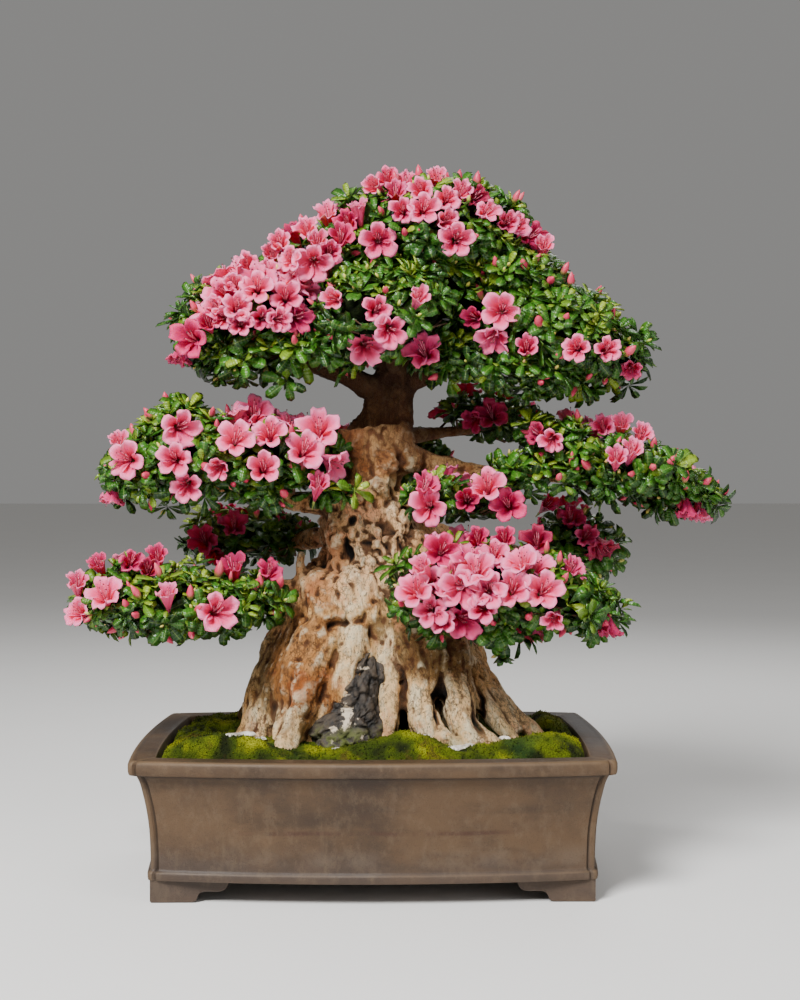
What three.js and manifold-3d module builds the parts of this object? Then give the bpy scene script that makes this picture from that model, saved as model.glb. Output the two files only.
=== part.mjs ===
// Satsuki azalea bonsai in flower, in a rectangular stoneware pot.
//
// Millimetres. +Z is up, the front faces -Y and +X is to the right as seen from the front.
// Every size below is measured from the point on the table under the middle of the pot. At the
// end the whole group is shifted sideways, so that the origin lies on the table under the middle
// of the finished object, because the crown reaches further to the right and back.
//
// Pieces: pot, two drainage screens, soil, moss carpet, stone in the root arch, the woody plant
// (roots, trunk and branches, grown as one), leafy sprays and the flowers that stand on them.

import * as THREE from "three";
import { mergeVertices } from "three/addons/utils/BufferGeometryUtils.js";
import Module from "manifold-3d";

const wasm = await Module();
wasm.setup();

// ---------------------------------------------------------------- driving dimensions

const CLEARANCE = 0.3; // gap kept between two pieces that touch
const WOOD_GAP = 0.8; // the same round the wood, before faces are thinned out
const FACE_MERGE = 0.3; // how far thinning out the faces may move them

const POT = {
  halfWidth: 270, // middle of the pot to the corner of the rim, left to right
  halfDepth: 192, // the same, front to back
  height: 161,
  rimWidth: 28,
  rimHeight: 18,
  bowFront: 20, // how far the long walls swell outwards in their middle
  bowSide: 8,
  floorTop: 38,
  floorUnder: 25,
  footLength: 87,
  footDepth: 15,
  cornerBead: 11, // reach of the bead that runs down each corner
};
const DRAIN = { x: 125, radius: 15, sides: 10, screenHalf: 27, screenThick: 1.6 };
const SOIL_TOP = 147;
const MOSS = { thick: 7, swell: 19, cellsX: 9, cellsY: 6 };

const BLOOM = { radius: 23.5, throat: 12, notch: 0.62, standOff: 27, spacing: 47 };
const BUNCHES = 42; // most bunches that the flowers are gathered in
const PEDICEL = { thick: 1.4, longest: 105 };
const LEAF = { length: 38, halfWidth: 10.5, fold: 2.6, thick: 1.6, sunk: 6, droop: 4 };
const WHORL = { spacing: 77, radius: 6, leaves: 4, lean: [0.35, 0.75] }; // lean in radians
const TUFT = { out: 15, in: -4, share: 0.45, flowerRoom: 17 }; // lumps of a pad's twig dome

// ---------------------------------------------------------------- general helpers

const vec = (x, y, z) => new THREE.Vector3(x, y, z);

// A repeatable random number from 0 to 1, from a linear congruential generator.
function seeded(seed) {
  let state = seed >>> 0;
  return () => {
    state = (Math.imul(state, 1664525) + 1013904223) >>> 0;
    return state / 4294967296;
  };
}

// A three.js geometry as a manifold-3d solid.
function solidOf(geometry) {
  const bare = geometry.clone();
  for (const name of ["normal", "uv"]) bare.deleteAttribute(name);
  const merged = mergeVertices(bare, 1e-4);
  return new wasm.Manifold(
    new wasm.Mesh({
      numProp: 3,
      vertProperties: new Float32Array(merged.attributes.position.array),
      triVerts: new Uint32Array(merged.index.array),
    }),
  );
}

// A manifold-3d solid as a three.js geometry.
function geometryOf(solid) {
  const mesh = solid.getMesh();
  const positions = new Float32Array(mesh.numVert * 3);
  for (let i = 0; i < mesh.numVert; i++) {
    const from = i * mesh.numProp;
    positions.set(mesh.vertProperties.subarray(from, from + 3), i * 3);
  }
  const geometry = new THREE.BufferGeometry();
  geometry.setAttribute("position", new THREE.BufferAttribute(positions, 3));
  geometry.setIndex(new THREE.BufferAttribute(mesh.triVerts, 1));
  geometry.computeVertexNormals();
  return geometry;
}

// A closed geometry from points and the triangles between them.
function faceted(points, triangles) {
  const geometry = new THREE.BufferGeometry();
  const positions = points.flatMap((p) => [p.x, p.y, p.z]);
  geometry.setAttribute("position", new THREE.Float32BufferAttribute(positions, 3));
  geometry.setIndex(triangles.flat());
  return geometry;
}

// A closed skin over rings of equally many points. Rings run anticlockwise seen from the end
// that the loft grows towards, and each end is closed by a fan.
function loft(rings) {
  const count = rings[0].length;
  const middle = (ring) =>
    ring.reduce((sum, p) => sum.add(p), vec(0, 0, 0)).divideScalar(count);
  const points = [...rings.flat(), middle(rings[0]), middle(rings.at(-1))];
  const first = rings.length * count;
  const triangles = [];
  for (let i = 0; i < count; i++) {
    const next = (i + 1) % count;
    for (let r = 0; r + 1 < rings.length; r++) {
      const [a, b] = [r * count + i, r * count + next];
      const [c, d] = [a + count, b + count];
      triangles.push([a, b, d], [a, d, c]);
    }
    const top = (rings.length - 1) * count;
    triangles.push([first, next, i], [first + 1, top + i, top + next]);
  }
  return faceted(points, triangles);
}

const union = (solids) => wasm.Manifold.union(solids);
const thinned = (solid) => solid.simplify(FACE_MERGE);

// The largest single body of a solid.
const mainBody = (solid) =>
  solid.decompose().reduce((best, s) => (s.volume() > best.volume() ? s : best));

function boxesMeet(a, b, margin) {
  const [p, q] = [a.boundingBox(), b.boundingBox()];
  return [0, 1, 2].every(
    (k) => p.min[k] - margin < q.max[k] && q.min[k] - margin < p.max[k],
  );
}

// True where two solids overlap or come closer than the clearance.
const crowd = (a, b) => boxesMeet(a, b, CLEARANCE) && a.minGap(b, CLEARANCE) < CLEARANCE;

// The corners of a solid that lie on another of its corners, where its skin pinches itself.
function pinches(solid) {
  const place = geometryOf(solid).attributes.position;
  const seen = new Set();
  const found = [];
  for (let i = 0; i < place.count; i++) {
    const corner = vec().fromBufferAttribute(place, i);
    const key = corner.toArray().map((v) => v.toFixed(3)).join();
    if (seen.has(key)) found.push(corner);
    seen.add(key);
  }
  return found;
}

// ---------------------------------------------------------------- pot

// The pot's outline at one level: bowed sides, and at each corner a groove, a bead and a groove.
function potOutline(halfX, halfY, z, { bow = 1, groove = 1, inset = 0 } = {}) {
  const c = POT.cornerBead;
  const corner = [
    [-c, 0],
    [-c + 2.4, -2.6 * groove],
    [-2.6, -2.6],
    [-2.6 * groove, -c + 2.4],
    [0, -c],
  ];
  const [hx, hy] = [halfX - inset, halfY - inset];
  const bulge = (share, size) => bow * size * (1 - share * share);
  const points = [];
  // One corner and the side that follows it, for each quarter turn from the front right corner.
  for (let quarter = 0; quarter < 4; quarter++) {
    const long = quarter % 2 === 1;
    const [along, out] = long ? [hx, hy] : [hy, hx];
    const sideShares = long ? [-0.55, 0, 0.55] : [0];
    const size = long ? POT.bowFront : POT.bowSide;
    // In this quarter's own axes the side runs along +s at distance `out` from the middle.
    const local = [
      ...corner.map(([before, after]) => [-along - after, out + before]),
      ...sideShares.map((share) => [share * (along - c), out + bulge(share, size)]),
    ];
    for (const [s, t] of local) {
      const turned = [
        [t, s],
        [-s, t],
        [-t, -s],
        [s, -t],
      ][quarter];
      points.push(vec(turned[0], turned[1], z));
    }
  }
  return points;
}

function potBody() {
  const { halfWidth: w, halfDepth: d, height: h, rimHeight, rimWidth } = POT;
  // [height, how far inside the rim's outer edge, bow, groove]
  const outside = [
    [POT.floorUnder, 20],
    [POT.floorUnder + 9, 19],
    [POT.floorUnder + 11, 22],
    [82, 20.5],
    [h - rimHeight - 10, 12],
    [h - rimHeight, 8],
    [h - rimHeight + 2, 1],
    [h - 4, 0],
    [h, 3.5],
  ];
  const rings = outside.map(([z, inset]) => potOutline(w, d, z, { inset }));
  const plain = { groove: 0.2, bow: 0.75 };
  rings.push(potOutline(w, d, h, { ...plain, inset: rimWidth }));
  rings.push(potOutline(w, d, POT.floorTop, { ...plain, inset: rimWidth + 4 }));
  return solidOf(loft(rings));
}

// One wing of a corner foot: a cloud-cut board that runs along +X from the corner.
function footWing(length) {
  const top = POT.floorUnder + 2;
  const shape = new THREE.Shape();
  shape.moveTo(0, top);
  shape.lineTo(0, 1.5);
  shape.lineTo(1.5, 0);
  shape.lineTo(length * 0.54, 0);
  shape.quadraticCurveTo(length * 0.6, 1.5, length * 0.61, 6);
  shape.quadraticCurveTo(length * 0.67, 12, length * 0.89, 12);
  shape.quadraticCurveTo(length, 14, length, top);
  shape.closePath();
  const settings = { depth: POT.footDepth, bevelEnabled: false, curveSegments: 2 };
  const board = new THREE.ExtrudeGeometry(shape, settings);
  return board.rotateX(Math.PI / 2).translate(0, POT.footDepth, 0);
}

function potFeet() {
  const [x, y] = [POT.halfWidth - 22.5, POT.halfDepth - 22.5];
  const feet = [];
  for (const [sx, sy] of [[-1, -1], [1, -1], [1, 1], [-1, 1]]) {
    const front = solidOf(footWing(POT.footLength));
    const side = solidOf(
      footWing(POT.footLength * 0.8).rotateZ(Math.PI / 2).translate(POT.footDepth, 0, 0),
    );
    let foot = front.add(side).translate([-x, -y, 0]);
    if (sx > 0) foot = foot.mirror([1, 0, 0]);
    if (sy > 0) foot = foot.mirror([0, 1, 0]);
    feet.push(foot);
  }
  return feet;
}

function drainHole(side) {
  const bar = new THREE.CylinderGeometry(DRAIN.radius, DRAIN.radius, 40, DRAIN.sides);
  return solidOf(bar.rotateX(Math.PI / 2).translate(side * DRAIN.x, 0, POT.floorTop - 10));
}

function makePot() {
  const holes = [-1, 1].map(drainHole);
  return union([potBody(), ...potFeet()]).subtract(union(holes));
}

// A square of coarse plastic mesh over one drainage hole: three bars each way.
function makeScreen(side) {
  const { screenHalf: half, screenThick: thick } = DRAIN;
  const hole = half * 0.36;
  const plate = solidOf(new THREE.BoxGeometry(2 * half, 2 * half, thick));
  const holes = [];
  for (const [x, y] of [[-1, -1], [1, -1], [1, 1], [-1, 1]]) {
    const bar = new THREE.BoxGeometry(2 * hole, 2 * hole, 2 * thick);
    holes.push(solidOf(bar.translate((x * half) / 2, (y * half) / 2, 0)));
  }
  const height = POT.floorTop + CLEARANCE + thick / 2;
  return plate.subtract(union(holes)).translate([side * DRAIN.x, 0, height]);
}

// ---------------------------------------------------------------- woody plant

// Rings of the trunk from the root ball to the leader: [z, x, y, half width, half depth].
const TRUNK = [
  [118, -4, 22, 96, 72],
  [170, -5, 22, 108, 80],
  [225, -6, 18, 113, 80],
  [275, -6, 10, 108, 78],
  [318, -6, 4, 90, 70],
  [348, -8, 2, 68, 60],
  [376, -7, 0, 56, 51],
  [418, -11, 0, 58, 50],
  [445, -7, 0, 45, 43],
  [465, -3, 1, 38, 40],
  [492, 4, 3, 41, 40],
  [520, 9, 6, 39, 38],
  [545, 14, 10, 31, 31],
  [590, 26, 16, 26, 26],
  [650, 34, 12, 19, 19],
  [705, 40, 6, 12, 12],
  [745, 46, 2, 7, 7],
];
const TRUNK_SIDES = 13;

// Limbs as [x, y, z, radius] from where they leave the trunk to their tip.
const ROOTS = [
  [[-80, -8, 335, 26], [-112, -22, 268, 28], [-146, -38, 200, 22], [-170, -50, 163, 14], [-190, -58, 138, 9]],
  [[-46, -44, 328, 30], [-76, -66, 250, 30], [-95, -92, 195, 24], [-106, -116, 163, 17], [-112, -128, 136, 10]],
  [[-14, -44, 318, 30], [-30, -60, 262, 27], [-48, -74, 214, 21], [-66, -84, 170, 15], [-74, -88, 136, 11]],
  [[8, -44, 300, 22], [20, -68, 240, 17], [17, -78, 198, 15], [15, -86, 165, 13], [15, -90, 136, 10]],
  [[34, -42, 312, 32], [48, -66, 250, 25], [53, -82, 205, 18], [62, -96, 170, 13], [72, -108, 136, 9]],
  [[78, -28, 290, 30], [90, -54, 228, 21], [100, -74, 187, 14], [126, -98, 164, 10], [146, -108, 140, 7]],
  [[96, 2, 285, 28], [122, -24, 222, 19], [140, -44, 186, 14], [160, -62, 162, 10], [178, -72, 138, 7]],
  [[104, 22, 280, 28], [144, 6, 214, 17], [176, -12, 183, 12], [204, -26, 164, 9], [224, -34, 140, 6]],
  [[96, 56, 280, 28], [132, 84, 215, 20], [160, 104, 172, 13], [176, 116, 138, 9]],
  [[30, 66, 290, 32], [48, 104, 220, 24], [66, 128, 172, 15], [76, 140, 138, 10]],
  [[-46, 62, 295, 32], [-58, 102, 222, 24], [-66, 130, 172, 15], [-72, 142, 138, 10]],
  [[-92, 44, 290, 30], [-128, 80, 218, 22], [-158, 104, 172, 14], [-176, 116, 138, 9]],
];
const BRANCHES = {
  leftMiddle: [[-30, -4, 438, 18], [-100, -24, 446, 13], [-180, -42, 462, 9], [-250, -48, 470, 5]],
  leftLow: [[-64, 4, 340, 18], [-130, -22, 330, 13], [-205, -50, 305, 9], [-290, -60, 300, 5]],
  leftStub: [[-72, -14, 312, 15], [-86, -20, 350, 8], [-87, -20, 381, 4]],
  leftBack: [[-30, 24, 405, 15], [-100, 84, 392, 10], [-170, 116, 380, 6]],
  rightMiddle: [[20, 6, 505, 17], [110, -8, 478, 13], [205, -22, 476, 10], [300, -28, 462, 7], [372, -28, 432, 4]],
  rightLow: [[30, -10, 392, 18], [98, -58, 362, 13], [160, -96, 326, 9], [230, -108, 312, 5]],
  rightUpper: [[26, -14, 448, 10], [84, -44, 440, 7], [130, -56, 436, 4]],
  rightBack: [[34, 20, 420, 14], [140, 64, 386, 10], [240, 76, 372, 6]],
  backRight: [[20, 24, 520, 12], [80, 76, 528, 8], [140, 108, 534, 5]],
  back: [[-4, 30, 470, 14], [-4, 100, 468, 10], [0, 150, 478, 6]],
  crownLeft: [[22, 14, 570, 17], [-50, -8, 600, 13], [-120, -22, 620, 9], [-190, -26, 628, 5]],
  crownRight: [[28, 16, 585, 16], [110, 0, 612, 12], [190, -14, 614, 9], [270, -22, 592, 5]],
  crownFront: [[28, 14, 600, 13], [20, -54, 622, 9], [14, -112, 630, 5]],
  crownBack: [[30, 16, 610, 13], [34, 80, 636, 9], [30, 130, 650, 5]],
};
// Burls and healed cuts: [x, y, z, radius].
const BURLS = [
  [-14, -20, 512, 27],
  [18, -34, 489, 14],
  [44, -14, 494, 17],
  [-30, -40, 338, 33],
  [28, -34, 372, 26],
  [58, -10, 345, 36],
];

// The trunk's ring at one level, swollen along upright ribs that wander as they rise.
function trunkRing([z, x, y, halfWidth, halfDepth], grow) {
  return Array.from({ length: TRUNK_SIDES }, (_, i) => {
    const angle = (2 * Math.PI * i) / TRUNK_SIDES;
    const ribs = 0.07 * Math.sin(3 * angle + z / 55) + 0.05 * Math.sin(5 * angle - z / 34);
    const [a, b] = [halfWidth * (1 + ribs) + grow, halfDepth * (1 + ribs) + grow];
    return vec(x + a * Math.cos(angle), y + b * Math.sin(angle), z);
  });
}

// A tapering limb through its stations, pushed out by `grow` all round and at both ends.
function limb(stations, sides, steps, grow) {
  const spine = new THREE.CatmullRomCurve3(stations.map(([x, y, z]) => vec(x, y, z)));
  const radius = (t) => {
    const place = t * (stations.length - 1);
    const low = Math.min(Math.floor(place), stations.length - 2);
    return THREE.MathUtils.lerp(stations[low][3], stations[low + 1][3], place - low);
  };
  const rings = [];
  for (let s = 0; s <= steps; s++) {
    const t = s / steps;
    const tangent = spine.getTangent(t);
    const side = vec(0, 0, 1).cross(tangent);
    if (side.length() < 0.2) side.set(1, 0, 0).addScaledVector(tangent, -tangent.x);
    side.normalize();
    const up = tangent.clone().cross(side);
    const end = s === 0 ? -grow : s === steps ? grow : 0;
    const centre = spine.getPoint(t).addScaledVector(tangent, end);
    const r = radius(t) + grow;
    rings.push(
      Array.from({ length: sides }, (_, i) => {
        const angle = (2 * Math.PI * i) / sides;
        return centre
          .clone()
          .addScaledVector(side, r * Math.cos(angle))
          .addScaledVector(up, r * Math.sin(angle));
      }),
    );
  }
  return solidOf(loft(rings));
}

function burl([x, y, z, radius], grow) {
  const ball = new THREE.IcosahedronGeometry(radius + grow, 1);
  return solidOf(ball.rotateZ(x).translate(x, y, z));
}

function woodyPlant(grow) {
  const levels = TRUNK.map((ring) => [...ring]);
  levels[0][0] -= grow;
  levels.at(-1)[0] += grow;
  const trunk = solidOf(loft(levels.map((ring) => trunkRing(ring, grow))));
  const roots = ROOTS.map((stations) => limb(stations, 6, 4, grow));
  const branches = Object.values(BRANCHES).map((stations) => limb(stations, 5, 3, grow));
  const burls = BURLS.map((ball) => burl(ball, grow));
  return union([trunk, ...roots, ...branches, ...burls]);
}

// ---------------------------------------------------------------- stone, soil and moss

// Levels of the stone that fills the root arch: [z, x, y, half width, half depth].
const STONE = [
  [SOIL_TOP + 1, -34, -86, 44, 32],
  [178, -30, -86, 40, 30],
  [208, -20, -78, 30, 27],
  [240, -8, -70, 20, 24],
  [262, -4, -62, 12, 20],
  [276, -4, -56, 5, 12],
];

function stone(grow) {
  const rings = STONE.map(([z, x, y, halfWidth, halfDepth], level) =>
    Array.from({ length: 9 }, (_, i) => {
      const angle = (2 * Math.PI * (i + 0.5 * (level % 2))) / 9;
      const chipped = 1 + 0.13 * Math.sin(2.3 * i + 1.9 * level);
      const lift = 4 * Math.sin(1.7 * i + level) * Math.min(level, 1);
      const reach = [halfWidth * chipped + grow, halfDepth * chipped + grow];
      return vec(x + reach[0] * Math.cos(angle), y + reach[1] * Math.sin(angle), z + lift);
    }),
  );
  return solidOf(loft(rings));
}

// A block with the pot's inside outline, between two heights.
function fillingBlock(low, high) {
  const clear = POT.rimWidth + 4 + CLEARANCE + 0.2;
  const plain = { groove: 0.2, bow: 0.75, inset: clear };
  const rings = [low, high].map((z) => potOutline(POT.halfWidth, POT.halfDepth, z, plain));
  return solidOf(loft(rings));
}

function makeSoil(wood) {
  const block = fillingBlock(POT.floorTop + 2 * CLEARANCE + DRAIN.screenThick, SOIL_TOP);
  return mainBody(block.subtract(wood));
}

// Height of the moss over the soil: cushions that run into each other and sink at the edge.
function mossHeight(x, y) {
  const cushions =
    0.5 +
    0.3 * Math.sin(x / 31 + 1.3 * Math.sin(y / 37)) +
    0.3 * Math.sin(y / 24 + 1.1 * Math.sin(x / 43) + 0.8);
  const [reachX, reachY] = [POT.halfWidth - POT.rimWidth, POT.halfDepth - POT.rimWidth];
  const edge = Math.max(Math.abs(x) / reachX, Math.abs(y) / (reachY + 10));
  const sink = Math.min(1, Math.max(0, (1 - edge) / 0.16));
  return MOSS.thick + MOSS.swell * (0.25 + 0.75 * sink) * Math.max(0.1, cushions);
}

function makeMoss(wood, rock) {
  const { cellsX, cellsY } = MOSS;
  const [halfX, halfY] = [POT.halfWidth + POT.bowSide, POT.halfDepth + POT.bowFront];
  const base = SOIL_TOP + CLEARANCE;
  const points = [];
  const index = (i, j, low) => 2 * (j * (cellsX + 1) + i) + (low ? 1 : 0);
  for (let j = 0; j <= cellsY; j++) {
    for (let i = 0; i <= cellsX; i++) {
      const [x, y] = [halfX * ((2 * i) / cellsX - 1), halfY * ((2 * j) / cellsY - 1)];
      points.push(vec(x, y, base + mossHeight(x, y)), vec(x, y, base));
    }
  }
  const triangles = [];
  const quad = (a, b, c, d) => triangles.push([a, b, c], [a, c, d]);
  for (let j = 0; j < cellsY; j++) {
    for (let i = 0; i < cellsX; i++) {
      quad(index(i, j), index(i + 1, j), index(i + 1, j + 1), index(i, j + 1));
      quad(index(i, j, 1), index(i, j + 1, 1), index(i + 1, j + 1, 1), index(i + 1, j, 1));
    }
  }
  for (let i = 0; i < cellsX; i++) {
    quad(index(i, 0, 1), index(i + 1, 0, 1), index(i + 1, 0), index(i, 0));
    quad(index(i, cellsY), index(i + 1, cellsY), index(i + 1, cellsY, 1), index(i, cellsY, 1));
  }
  for (let j = 0; j < cellsY; j++) {
    quad(index(0, j), index(0, j + 1), index(0, j + 1, 1), index(0, j, 1));
    quad(index(cellsX, j, 1), index(cellsX, j + 1, 1), index(cellsX, j + 1), index(cellsX, j));
  }
  const sheet = solidOf(faceted(points, triangles));
  const carpet = sheet.intersect(fillingBlock(base - 10, base + 60));
  return mainBody(carpet.subtract(wood).subtract(rock));
}

// ---------------------------------------------------------------- leaf pads

// Each pad is a flattened lumpy dome of twigs: [x, y, z] of its middle, its half sizes `half`
// to the sides, to the front and upwards, its depth below the middle `under`, and `tilt` in
// degrees, positive where it falls to the right. `flowers` are the flowers on its front as
// [across, up] on the dome, each from -1 to 1, and `behind` is how many stand on its back.
const PADS = {
  crownHeart: {
    spray: "crown", at: [40, 6, 694], half: [135, 112, 62], under: 42, tilt: 0, detail: 1,
    flowers: [], behind: 0, leafy: false,
  },
  crownTop: {
    spray: "crown", at: [68, -10, 752], half: [116, 104, 68], under: 40, tilt: 0, detail: 2,
    flowers: [
      [-0.37, 0.88], [-0.22, 0.72], [0.06, 0.9], [0.36, 0.78], [-0.6, 0.42], [-0.86, 0.36],
      [-0.72, 0.08], [-0.42, -0.1], [-0.03, 0.4], [0.22, 0.06], [0.5, 0.4], [0.68, 0.22],
      [0.9, 0.06], [-0.1, 0.98],
    ],
    behind: 2,
  },
  crownLeft: {
    spray: "crown", at: [-134, -20, 655], half: [92, 98, 60], under: 34, tilt: -14, detail: 2,
    flowers: [
      [0.12, 0.94], [0.56, 0.74], [0.34, 0.9], [0.06, 0.74], [-0.34, 0.52], [-0.04, 0.5],
      [0.1, 0.24], [0.36, 0.36], [0.5, 0.04], [-0.24, 0.04], [-0.8, -0.16], [-0.76, -0.5],
      [-0.62, 0.2],
    ],
    behind: 2,
  },
  crownFront: {
    spray: "crown", at: [14, -112, 655], half: [70, 56, 50], under: 36, tilt: 0, detail: 2,
    flowers: [[0, -0.04], [0.14, -0.4], [-0.28, -0.6], [0.48, -0.5], [0.46, 0.38]],
    behind: 0,
  },
  crownRight: {
    spray: "crown", at: [202, -20, 640], half: [112, 98, 58], under: 34, tilt: 16, detail: 2,
    flowers: [[-0.42, 0.34], [-0.44, -0.1], [0.34, -0.02], [0.56, 0.04], [0.74, 0.0], [0.9, -0.2]],
    behind: 2,
  },
  crownBack: {
    spray: "crown", at: [26, 112, 678], half: [130, 84, 70], under: 44, tilt: 0, detail: 2,
    flowers: [],
    behind: 6,
  },
  leftMiddle: {
    spray: "left_middle", at: [-176, -45, 492], half: [126, 88, 42], under: 26, tilt: -4, detail: 2,
    flowers: [
      [-0.77, -0.02], [-0.34, 0.43], [-0.42, -0.03], [-0.3, -0.5], [0.08, 0.34], [0.22, 0.7],
      [0.42, 0.78], [0.33, 0.4], [0.28, -0.16], [-0.04, -0.2], [0.72, 0.56], [0.64, 0.14],
      [0.9, -0.14], [-0.82, -0.5], [0.7, -0.42],
    ],
    behind: 2,
  },
  rightMiddle: {
    spray: "right_middle", at: [292, -25, 486], half: [120, 74, 28], under: 20, tilt: 20, detail: 2,
    flowers: [
      [-0.7, 0.1], [-0.55, -0.12], [-0.24, 0.88], [0.04, 0.86], [0.03, 0.5], [0.93, 0.26],
      [0.7, -0.54], [0.95, -0.2],
    ],
    behind: 2,
  },
  backRight: {
    spray: "back_right", at: [150, 112, 548], half: [52, 48, 20], under: 14, tilt: 6, detail: 2,
    flowers: [[-0.3, 0.06], [0.25, 0.1]],
    behind: 2,
  },
  leftLow: {
    spray: "left_low", at: [-232, -60, 322], half: [108, 84, 36], under: 24, tilt: 0, detail: 2,
    flowers: [
      [-0.62, 0.26], [-0.9, -0.16], [0.4, -0.14], [-0.82, 0.45], [-0.66, 0.66], [-0.32, 0.8],
      [-0.12, 0.9], [0.5, 0.74], [0.76, 0.56],
    ],
    behind: 2,
  },
  leftBack: {
    spray: "left_back", at: [-160, 112, 392], half: [74, 58, 28], under: 18, tilt: 0, detail: 2,
    flowers: [[-0.6, 0.1], [-0.15, 0.34]],
    behind: 2,
  },
  rightLow: {
    spray: "right_low", at: [158, -112, 340], half: [104, 66, 44], under: 28, tilt: 10, detail: 2,
    flowers: [
      [-0.5, 0.78], [-0.68, 0.5], [-0.92, 0.04], [-0.76, -0.14], [-0.46, 0.2], [-0.2, 0.2],
      [-0.32, 0.6], [-0.14, 0.72], [0.06, 0.62], [0.02, 0.1], [-0.52, -0.3], [-0.44, -0.56],
      [-0.68, -0.5], [-0.32, -0.36], [0.3, 0.08], [0.2, 0.93], [-0.2, 0.95], [0.36, -0.4],
      [0.52, 0.72], [0.76, -0.56], [0.58, 0.36],
    ],
    behind: 2,
  },
  rightUpper: {
    spray: "right_upper", at: [116, -62, 448], half: [48, 40, 14], under: 12, tilt: 0, detail: 2,
    flowers: [[-0.76, 0.04], [0, 0.2], [0.28, 0.6], [0.68, -0.14]],
    behind: 0,
  },
  rightBack: {
    spray: "right_back", at: [254, 74, 388], half: [42, 48, 34], under: 24, tilt: 24, detail: 2,
    flowers: [[-0.24, 0.62], [0.53, 0.06], [0.44, -0.3]],
    behind: 2,
  },
  back: {
    spray: "back", at: [-4, 152, 492], half: [92, 52, 32], under: 20, tilt: 0, detail: 2,
    flowers: [],
    behind: 2,
  },
};

// The point of a pad's twig dome in direction `d`, a unit vector in the pad's own axes.
function padPoint(pad, d, lift = 0) {
  const [a, b, up] = pad.half;
  const c = d.z > 0 ? up : pad.under;
  const [x] = pad.at;
  const lump =
    1 +
    0.05 * Math.sin(5.1 * d.x + x / 30) * Math.cos(4.3 * d.y - x / 50) +
    0.03 * Math.sin(8 * d.x + 5 * d.z + x / 20);
  const p = vec((a + lift) * d.x, (b + lift) * d.y, (c + lift) * d.z).multiplyScalar(lump);
  return p.applyAxisAngle(vec(0, 1, 0), THREE.MathUtils.degToRad(pad.tilt)).add(vec(...pad.at));
}

// The way out of a pad's dome in direction `d`.
function padNormal(pad, d) {
  const [a, b, up] = pad.half;
  const c = d.z > 0 ? up : pad.under;
  const out = vec(d.x / a, d.y / b, d.z / c).normalize();
  return out.applyAxisAngle(vec(0, 1, 0), THREE.MathUtils.degToRad(pad.tilt));
}

// The twig dome with the tips of its inner leaves: corners of the dome drawn out or in at
// random, but not where a flower stands.
function padCore(pad) {
  const random = seeded(pad.at[0] + 500);
  const ball = mergeVertices(bareSphere(pad.detail), 1e-4);
  const place = ball.attributes.position;
  const feet = flowerDirections(pad).map((d) => padPoint(pad, d));
  for (let i = 0; i < place.count; i++) {
    const d = vec(place.getX(i), place.getY(i), place.getZ(i)).normalize();
    const p = padPoint(pad, d);
    const free = feet.every((foot) => foot.distanceTo(p) > TUFT.flowerRoom);
    const drawn = random() < TUFT.share ? TUFT.out * (0.6 + 0.4 * random()) : TUFT.in;
    p.addScaledVector(padNormal(pad, d), free ? drawn : TUFT.in);
    place.setXYZ(i, p.x, p.y, p.z);
  }
  return solidOf(ball);
}

function bareSphere(detail) {
  const ball = new THREE.IcosahedronGeometry(1, detail);
  for (const name of ["normal", "uv"]) ball.deleteAttribute(name);
  return ball;
}

// Evenly spread directions, by the golden angle.
function spreadDirections(count) {
  const golden = Math.PI * (3 - Math.sqrt(5));
  return Array.from({ length: count }, (_, i) => {
    const z = 1 - (2 * (i + 0.5)) / count;
    const r = Math.sqrt(1 - z * z);
    return vec(r * Math.cos(golden * i), r * Math.sin(golden * i), z);
  });
}

// ---------------------------------------------------------------- flowers

// Moves flowers of one pad apart along its dome until none is nearer than the spacing.
function spreadApart(pad, directions) {
  const places = directions.map((d) => padPoint(pad, d));
  for (let round = 0; round < 30; round++) {
    for (let i = 0; i < places.length; i++) {
      for (let j = 0; j < i; j++) {
        const apart = places[i].clone().sub(places[j]);
        const short = BLOOM.spacing - apart.length();
        if (short < 0.5) continue;
        const push = apart.setLength(short / 2);
        places[i] = padPoint(pad, padDirection(pad, places[i].add(push)));
        places[j] = padPoint(pad, padDirection(pad, places[j].sub(push)));
      }
    }
  }
  return places.map((place) => padDirection(pad, place));
}

// The direction in a pad's own axes that leads to a point.
function padDirection(pad, point) {
  const [a, b, up] = pad.half;
  const p = point.clone().sub(vec(...pad.at));
  p.applyAxisAngle(vec(0, 1, 0), -THREE.MathUtils.degToRad(pad.tilt));
  return vec(p.x / a, p.y / b, p.z / (p.z > 0 ? up : pad.under)).normalize();
}

// Where a pad's flowers stand, as directions in the pad's own axes.
function flowerDirections(pad) {
  const front = pad.flowers.map(([u, v]) => {
    const flat = Math.min(1, Math.hypot(u, v));
    const shrink = flat > 0.97 ? 0.97 / Math.hypot(u, v) : 1;
    const [x, z] = [u * shrink, v * shrink];
    return vec(x, -Math.sqrt(1 - x * x - z * z), z);
  });
  const back = spreadDirections(pad.behind * 4)
    .filter((d) => d.z > -0.25 && d.z < 0.95 && d.y > 0.12)
    .slice(0, pad.behind);
  return spreadApart(pad, [...front, ...back]);
}

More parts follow.
